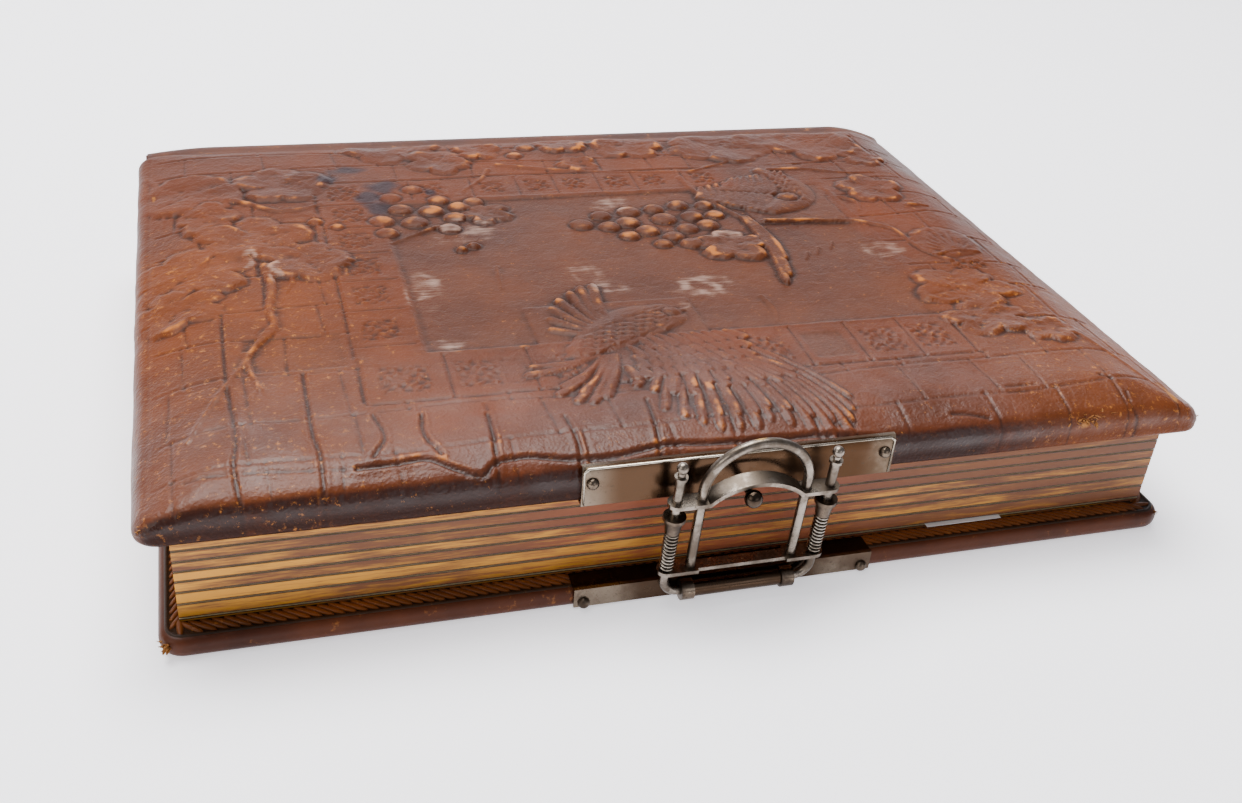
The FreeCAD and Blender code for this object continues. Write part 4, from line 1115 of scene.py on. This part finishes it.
strawboard = old_paper("grey_brown_strawboard", "#8C7454", "#6E5A42", "#52402E")
for node in ("back_board", "front_board", "spine_stiffener", "guard_stubs"):
    dress(node, strawboard)

# ---------------------------------------------------------------------------------------------
# Spine: one strip of the covers' skin over a card stiffener. Its two joints are the bare skin,
# creased where the covers swing.

spine_low, spine_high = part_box("spine_leather")
spine_out = spine_high.y / MM
half_spine = spine_high.x / MM
low_z, high_z = spine_low.z / MM, spine_high.z / MM
spine_leather = leather("worn_spine_sheepskin", "#5A2B13", "#381A0E", "#8A5426", 0.34)


def side_fall(x):
    """How far the padded cover has fallen, and the spine's top with it, towards the short edges."""
    return (2.8 if x < 0 else 8.4) * max(0.0, 1 - (half_front - abs(x)) / 25) ** 1.75


def strip_along(name, section, half_x, material, thick=1.0, falls=(0.0, 1.0), spacing=2.0):
    """Skin along the spine, on a line of (y, z) points; falls is the side fall's share at the line's ends."""
    line = flowing(section, 6)
    tangent = np.gradient(line, axis=0)
    normal = np.column_stack([tangent[:, 1], -tangent[:, 0]])
    normal /= np.linalg.norm(normal, axis=1)[:, None]
    loop = np.concatenate([line, (line - normal * thick)[::-1]])
    share = np.linspace(0, 1, len(line))
    share = falls[0] + (falls[1] - falls[0]) * np.concatenate([share, share[::-1]]) ** 2
    stations = np.linspace(-half_x, half_x, int(2 * half_x / spacing) + 1)
    points = []
    for place in stations:
        points += [(place, y, z - part * side_fall(place)) for (y, z), part in zip(loop, share)]
    around = len(loop)
    faces = []
    for n in range(len(stations) - 1):
        for m in range(around):
            a, b = n * around + m, n * around + (m + 1) % around
            faces.append((a, b, b + around, a + around))
    faces.append(tuple(reversed(range(around))))
    faces.append(tuple((len(stations) - 1) * around + m for m in range(around)))
    return new_piece(name, points, faces, material)


spine_skin = strip_along(
    "spine_leather_skin",
    [
        (spine_out - 0.9, low_z - 0.2), (spine_out - 0.1, low_z + 1.2), (spine_out, low_z + 8),
        (spine_out, (low_z + high_z) / 2), (spine_out, high_z - 8), (spine_out - 0.1, high_z - 1.2),
        (spine_out - 0.9, high_z + 0.2),
    ],
    half_spine, spine_leather, 1.4, (0.0, 0.75),
)
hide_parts("spine_leather")
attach(spine_skin, "spine")

rear_joint = strip_along(
    "back_joint_leather",
    [(98.5, -0.02), (101.0, 0.0), (102.6, 0.4), (103.8, 1.5), (104.9, 3.0), (105.5, 4.6), (105.7, 6.4)],
    half_spine - 0.6, spine_leather, 0.8, (0.0, 0.0),
)
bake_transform(rear_joint)
front_joint = strip_along(
    "front_joint_leather",
    [
        (spine_out - 0.5, high_z - 3.0), (spine_out - 0.4, high_z - 0.6), (105.0, high_z + 0.8),
        (103.6, high_z + 1.5), (101.6, high_z + 1.55), (99.4, high_z + 1.3), (97.2, high_z + 1.15),
    ],
    half_spine - 0.6, cover_leather, 0.8, (0.75, 1.0),
)
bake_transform(front_joint)

# ---------------------------------------------------------------------------------------------
# Leaves: eight thick cream cards, each a core with a pocket between two windowed mats. The edges
# were sized, laid with gold leaf over red bole and burnished; handling has brushed the gold away
# in streaks, down to the bole near the clasp and to brown card elsewhere.

leaf_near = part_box("leaf_1_core")[0].y
leaf_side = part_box("leaf_1_core")[1].x
edge_skin = 0.06 * MM                    # what is nearer than this to the edge is gilt


def gilt_card(name, brightness, seed, middle, half_thick):
    """Cream card with streaked gold on its outer edges, which the object's own coordinates find."""
    material, tree, shader = new_material(name)
    place = add(tree, "ShaderNodeTexCoord").outputs["Object"]
    axis = add(tree, "ShaderNodeSeparateXYZ", Vector=place)
    near = add(
        tree, "ShaderNodeMath", {"operation": "LESS_THAN"}, _0=axis.outputs["Y"], _1=leaf_near + edge_skin,
    ).outputs[0]
    away = add(tree, "ShaderNodeMath", {"operation": "ABSOLUTE"}, _0=axis.outputs["X"]).outputs[0]
    ends = add(
        tree, "ShaderNodeMath", {"operation": "GREATER_THAN"}, _0=away, _1=leaf_side - edge_skin,
    ).outputs[0]
    edge = add(tree, "ShaderNodeMath", {"operation": "MAXIMUM"}, _0=near, _1=ends).outputs[0]
    streak_place = add(
        tree, "ShaderNodeMapping", Vector=place, Scale=[1 / (size * MM) for size in (11.8, 11.8, 0.667)],
        Location=(seed, 0, 0),
    )
    streaks = add(
        tree, "ShaderNodeTexNoise", Vector=streak_place.outputs[0], Scale=1.0, Detail=7.0, Roughness=0.68,
    )
    cloud_place = add(
        tree, "ShaderNodeMapping", Vector=place, Scale=[1 / (size * MM) for size in (45.5, 45.5, 6.25)],
        Location=(seed * 3.1, 0, 0),
    )
    clouds = add(
        tree, "ShaderNodeTexNoise", Vector=cloud_place.outputs[0], Scale=1.0, Detail=5.0, Roughness=0.6,
    )
    kept = add(
        tree, "ShaderNodeMath", {"operation": "ADD"}, _0=streaks.outputs["Fac"], _1=clouds.outputs["Fac"],
    ).outputs[0]
    left = add(
        tree, "ShaderNodeMapRange", Value=axis.outputs["X"], From_Min=-0.13, From_Max=-0.02, To_Min=0.22,
        To_Max=0.0,
    ).outputs[0]
    kept = add(tree, "ShaderNodeMath", {"operation": "ADD"}, _0=kept, _1=left).outputs[0]
    gold = add(
        tree, "ShaderNodeMapRange", {"interpolation_type": "SMOOTHSTEP"}, Value=kept,
        From_Min=1.06 - brightness, From_Max=1.42 - brightness,
    ).outputs[0]
    centred = add(
        tree, "ShaderNodeMapRange", {"interpolation_type": "SMOOTHSTEP"}, Value=away, From_Min=0.07,
        From_Max=0.01,
    ).outputs[0]
    red = add(
        tree, "ShaderNodeMath", {"operation": "MULTIPLY"}, _0=centred, _1=clouds.outputs["Fac"],
    ).outputs[0]
    from_middle = add(
        tree, "ShaderNodeMath", {"operation": "SUBTRACT"}, _0=axis.outputs["Z"], _1=middle,
    ).outputs[0]
    from_middle = add(tree, "ShaderNodeMath", {"operation": "ABSOLUTE"}, _0=from_middle).outputs[0]
    from_middle = add(
        tree, "ShaderNodeMath", {"operation": "MULTIPLY_ADD"}, _0=streaks.outputs["Fac"], _1=0.0004,
        _2=from_middle,
    ).outputs[0]
    # painted shade: a dark band along the edge next to each face, where the stacked cards meet
    gap = add(
        tree, "ShaderNodeMapRange", Value=from_middle, From_Min=half_thick - 0.00022,
        From_Max=half_thick + 0.0001,
    ).outputs[0]
    gilt = "#421F08"
    for amount, over in (
        (clouds.outputs["Fac"], "#824710"), (red, "#8A360C"), (gold, "#B87F28"), (gap, "#2C160C"),
    ):
        gilt = add(tree, "ShaderNodeMix", {"data_type": "RGBA"}, _0=amount, _6=gilt, _7=over).outputs[2]
    stain = add(tree, "ShaderNodeTexNoise", Vector=place, Scale=1 / (33.3 * MM), Detail=5.0)
    card = add(
        tree, "ShaderNodeMix", {"data_type": "RGBA"}, _0=stain.outputs["Fac"], _6="#A8946C", _7="#C9BB98",
    ).outputs[2]
    colour = add(tree, "ShaderNodeMix", {"data_type": "RGBA"}, _0=edge, _6=card, _7=gilt).outputs[2]
    connect(tree, shader, "Base Color", colour)
    shine = add(tree, "ShaderNodeMath", {"operation": "MULTIPLY"}, _0=edge, _1=gold).outputs[0]
    metal = add(tree, "ShaderNodeMath", {"operation": "MULTIPLY"}, _0=shine, _1=0.55).outputs[0]
    connect(tree, shader, "Metallic", metal)
    rough = add(tree, "ShaderNodeMapRange", Value=shine, To_Min=0.62, To_Max=0.36).outputs[0]
    connect(tree, shader, "Roughness", rough)
    bump = add(tree, "ShaderNodeBump", Strength=0.5, Distance=0.00012, Height=streaks.outputs["Fac"])
    connect(tree, shader, "Normal", bump.outputs[0])
    return material


leaf_gold = (0.11, 0.20, 0.05, 0.15, 0.01, -0.02, 0.05, 0.14)
for number, brightness in enumerate(leaf_gold, 1):
    mats = [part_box(f"leaf_{number}_{side_name}_mat") for side_name in ("back", "front")]
    foot, head = min(mat[0].z for mat in mats), max(mat[1].z for mat in mats)
    card = gilt_card(
        f"gilt_edged_card_{number}", brightness, number * 2.3, (foot + head) / 2, (head - foot) / 2,
    )
    for part in ("core", "front_mat", "back_mat"):
        dress(f"leaf_{number}_{part}", card)
foot, head = (edge_place.z for edge_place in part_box("rear_flyleaf"))
dress("rear_flyleaf", gilt_card("gilt_edged_fly_leaf", 0.14, 7.7, (foot + head) / 2, (head - foot) / 2))

# ---------------------------------------------------------------------------------------------
# Leaf guards: strips of linen that each leaf folds on, pasted into the leaf at one edge and sewn
# with the guard stubs at the other. The weave is drawn at about 2 mm so that it can be seen.

thread_pitch = 1.96                     # of the weave as drawn; a wave repeats every 2 pi / 20 of a unit
weave_scale = 2 * math.pi / 20 / (thread_pitch * MM)
linen, tree, shader = new_material("unbleached_guard_linen")
place = add(tree, "ShaderNodeTexCoord").outputs["Object"]
warp = add(
    tree, "ShaderNodeTexWave", {"wave_type": "BANDS", "bands_direction": "X"}, Vector=place,
    Scale=weave_scale, Distortion=0.6,
)
weft = add(
    tree, "ShaderNodeTexWave", {"wave_type": "BANDS", "bands_direction": "Y"}, Vector=place,
    Scale=weave_scale, Distortion=0.6,
)
weave = add(
    tree, "ShaderNodeMath", {"operation": "MULTIPLY"}, _0=warp.outputs["Fac"], _1=weft.outputs["Fac"],
).outputs[0]
cloth = add(tree, "ShaderNodeMix", {"data_type": "RGBA"}, _0=weave, _6="#8A7A5C", _7="#BBAA86").outputs[2]
connect(tree, shader, "Base Color", cloth)
connect(
    tree, shader, "Normal",
    add(tree, "ShaderNodeBump", Strength=0.5, Distance=0.00015, Height=weave).outputs[0],
)
shader.inputs["Roughness"].default_value = 0.85
stub_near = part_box("guard_stubs")[0].y / MM
for number in range(1, 9):
    low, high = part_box(f"leaf_{number}_guard")
    middle_z = (low.z + high.z) / 2 / MM
    strip = strip_along(
        f"leaf_{number}_linen_guard",
        [(y, middle_z + 0.3) for y in (low.y / MM, 88.0, 91.0, 92.6, stub_near + 0.4, stub_near + 1.2)],
        high.x / MM - 0.4, linen, 0.5, (0.0, 0.0), 6.0,
    )
    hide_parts(f"leaf_{number}_guard")
    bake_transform(strip)

# ---------------------------------------------------------------------------------------------
# Clasp metal: brass and iron parts plated with nickel and polished, now yellowed, spotted and
# rubbed through at the high places. The plates carry painted shade: a painted shadow and reflection
# of the ball stud on the upper one, and painted shade under the front cover on the lower one.


def plated(name, light, dark, low_rough, high_rough, spot=18.2, wear_and_shade_spots=(), behind=None):
    """Worn nickel plate with tarnish spots of that many millimetres. The listed spots, (centre, reach,
    colour), are brass wear and painted shade. Past the depth behind it is painted near black, as shade."""
    material, tree, shader = new_material(name)
    place = add(tree, "ShaderNodeTexCoord").outputs["Object"]
    tarnish = add(tree, "ShaderNodeTexNoise", Vector=place, Scale=1 / (spot * MM), Detail=8.0, Roughness=0.65)
    amount = add(
        tree, "ShaderNodeMapRange", {"interpolation_type": "SMOOTHSTEP"}, Value=tarnish.outputs["Fac"],
        From_Min=0.40, From_Max=0.60,
    ).outputs[0]
    colour = add(tree, "ShaderNodeMix", {"data_type": "RGBA"}, _0=amount, _6=light, _7=dark).outputs[2]
    for centre, reach, shade in wear_and_shade_spots:
        gap = add(
            tree, "ShaderNodeVectorMath", {"operation": "DISTANCE"}, _0=place, _1=centre,
        ).outputs["Value"]
        near = add(
            tree, "ShaderNodeMapRange", {"interpolation_type": "SMOOTHSTEP"}, Value=gap, From_Min=reach,
            From_Max=reach * 0.7,
        ).outputs[0]
        near = add(tree, "ShaderNodeMath", {"operation": "MULTIPLY"}, _0=near, _1=0.9).outputs[0]
        colour = add(tree, "ShaderNodeMix", {"data_type": "RGBA"}, _0=near, _6=colour, _7=shade).outputs[2]
    # painted shade: past the depth behind, the part lies in under the cover and is painted near black
    if behind is not None:
        depth = add(tree, "ShaderNodeSeparateXYZ", Vector=place).outputs["Y"]
        painted_shade_under_cover = add(
            tree, "ShaderNodeMapRange", Value=depth, From_Min=behind, From_Max=behind + 0.0006,
        ).outputs[0]
        colour = add(
            tree, "ShaderNodeMix", {"data_type": "RGBA"}, _0=painted_shade_under_cover, _6=colour, _7="#24170F",
        ).outputs[2]
    pits = add(tree, "ShaderNodeTexNoise", Vector=place, Scale=1 / (0.714 * MM), Detail=3.0)
    pit = add(tree, "ShaderNodeMapRange", Value=pits.outputs["Fac"], From_Min=0.60, From_Max=0.72).outputs[0]
    pit = add(tree, "ShaderNodeMath", {"operation": "MULTIPLY"}, _0=pit, _1=0.6).outputs[0]
    colour = add(tree, "ShaderNodeMix", {"data_type": "RGBA"}, _0=pit, _6=colour, _7="#3B332A").outputs[2]
    connect(tree, shader, "Base Color", colour)
    connect(
        tree, shader, "Roughness",
        add(tree, "ShaderNodeMapRange", Value=amount, To_Min=low_rough, To_Max=high_rough).outputs[0],
    )
    shader.inputs["Metallic"].default_value = 1.0
    scratches = add(tree, "ShaderNodeTexNoise", Vector=place, Scale=1 / (1.11 * MM), Detail=2.0)
    bump = add(tree, "ShaderNodeBump", Strength=0.12, Distance=0.00003, Height=scratches.outputs["Fac"])
    connect(tree, shader, "Normal", bump.outputs[0])
    return material


nickel_wire = plated("tarnished_nickel_plate_wire", "#8F857A", "#5A5046", 0.20, 0.38, 11.1)
dark_nickel = plated("dull_grey_nickel", "#6A5D50", "#40362E", 0.24, 0.44, 8.33)
stud_nickel = plated("dark_polished_stud", "#54473B", "#332A23", 0.12, 0.24, 11.1)
bail_low, bail_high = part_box("bail")
apex = ((bail_low.x + bail_high.x) / 2 - 0.0012, (bail_low.y + bail_high.y) / 2, bail_high.z)
bail_nickel = plated(
    "tarnished_nickel_bail_worn_to_brass", "#8F857A", "#5A5046", 0.20, 0.38, 11.1,
    [(apex, 0.0026, "#B58A3A")],
)
upper_low, upper_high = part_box("upper_clasp_plate")
lower_low, lower_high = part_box("lower_clasp_plate")
# painted shadow and dark reflection of the ball stud, darkening the middle of the upper plate
ball_stud_shadow_centre = ((upper_low.x + upper_high.x) / 2, upper_low.y, (upper_low.z * 0.4 + upper_high.z * 0.6))
# painted shade under the front cover's overhang, darkest at the lower plate's top
cover_overhang_shade_centre = ((lower_low.x + lower_high.x) / 2, lower_low.y, lower_high.z)
upper_sheet = plated(
    "tarnished_nickel_upper_plate_painted_shadow", "#7C7062", "#5A4B3C", 0.22, 0.40, 18.2,
    [(ball_stud_shadow_centre, 0.044, "#3E2817")],
)
lower_sheet = plated(
    "tarnished_nickel_lower_plate_painted_shade", "#766A5C", "#54463A", 0.22, 0.40, 18.2,
    [(cover_overhang_shade_centre, 0.032, "#3C2C20")], -half_depth * MM,
)
finishes = {
    upper_sheet: ("upper_clasp_plate",), lower_sheet: ("lower_clasp_plate",), bail_nickel: ("bail",),
    stud_nickel: ("ball_stud",), nickel_wire: ("catch_bar", "lower_strap", "rod_left", "rod_right"),
    dark_nickel: ("upper_plate_pins", "lower_plate_pins", "hinge_knuckles", "spring_collars"),
}
for finish, nodes in finishes.items():
    for node in nodes:
        dress(node, finish)

# the upper plate's edge is rolled over at the top and at both ends, where the plating stays bright
lip_path = [
    (upper_low.x + 0.0006, upper_low.z + 0.0004), (upper_low.x + 0.0004, upper_high.z - 0.0014),
    (upper_low.x + 0.0016, upper_high.z - 0.0004),
]
lip_path += [
    (upper_high.x - 0.0016, upper_high.z - 0.0004), (upper_high.x - 0.0004, upper_high.z - 0.0014),
    (upper_high.x - 0.0006, upper_low.z + 0.0004),
]
lip_points, lip_faces = [], []
for x, z in lip_path:
    inward = Vector(((upper_low.x + upper_high.x) / 2 - x, 0, 0)).normalized() + Vector((0, 0, -1))
    for turn in np.radians(np.arange(0, 360, 45)):
        spot = Vector((x, upper_low.y, z)) + 0.0004 * (
            math.cos(turn) * inward.normalized() + math.sin(turn) * Vector((0, -1, 0))
        )
        lip_points.append(spot / MM)
for n in range(len(lip_path) - 1):
    for m in range(8):
        a, b = 8 * n + m, 8 * n + (m + 1) % 8
        lip_faces.append((a, b, b + 8, a + 8))
lip_faces += [tuple(reversed(range(8))), tuple(8 * (len(lip_path) - 1) + m for m in range(8))]
bright_lip = plated("bright_rolled_edge", "#B9AF9F", "#857A6A", 0.18, 0.3)
plate_lip = new_piece("upper_plate_rolled_edge", lip_points, lip_faces, bright_lip)
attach(plate_lip, "front_cover")

# ---------------------------------------------------------------------------------------------
# Springs: close coils of plated steel wire on the rods, between the lower strap and the cups.

spring_steel = plated("plated_spring_wire", "#A59C90", "#746A5E", 0.18, 0.32, 6.67)


def coil_tree(material):
    tree = bpy.data.node_groups.new("coil_spring", "GeometryNodeTree")
    face = tree.interface
    face.new_socket("Path", in_out="INPUT", socket_type="NodeSocketGeometry")
    for label, value in (("Turns", 10.5), ("Radius", 0.0016), ("Height", 0.0123), ("Wire radius", 0.00028)):
        face.new_socket(label, in_out="INPUT", socket_type="NodeSocketFloat").default_value = value
    face.new_socket("Coil", in_out="OUTPUT", socket_type="NodeSocketGeometry")
    given = add(tree, "NodeGroupInput")
    helix = add(
        tree, "GeometryNodeCurveSpiral", Resolution=26, Rotations=given.outputs["Turns"],
        Start_Radius=given.outputs["Radius"], End_Radius=given.outputs["Radius"],
        Height=given.outputs["Height"],
    )
    wire = add(tree, "GeometryNodeCurvePrimitiveCircle", Resolution=9, Radius=given.outputs["Wire radius"])
    tube = add(
        tree, "GeometryNodeCurveToMesh", Curve=helix.outputs[0], Profile_Curve=wire.outputs[0],
        Fill_Caps=True,
    )
    smooth = add(tree, "GeometryNodeSetShadeSmooth", Geometry=tube.outputs[0])
    finished = add(tree, "GeometryNodeSetMaterial", Geometry=smooth.outputs[0], Material=material)
    add(tree, "NodeGroupOutput", Coil=finished.outputs[0])
    return tree


lean = math.radians(6.0)
rod_axis = Vector((0, -math.sin(lean), math.cos(lean)))
hinge_y, hinge_z = -104.65, 3.7
spring_foot, spring_head = 9.0, 21.0    # along the rod from the hinge
coil_sizes = {"Turns": 10.5, "Radius": 1.62 * MM, "Height": 11.7 * MM, "Wire radius": 0.29 * MM}
spring_tree = coil_tree(spring_steel)
for node in ("spring_left", "spring_right"):
    low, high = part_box(node)
    coil = grown(node + "_coil", spring_tree, [(0, 0, 0), (0, 0, 1)], False, coil_sizes)
    foot = Vector(((low.x + high.x) / 2, hinge_y * MM, hinge_z * MM)) + rod_axis * spring_foot * MM
    coil.data.transform(Matrix.Translation(foot) @ Matrix.Rotation(lean, 4, "X"))
    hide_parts(node)
    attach(coil, "clasp_rods")
    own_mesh(coil)

low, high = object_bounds()
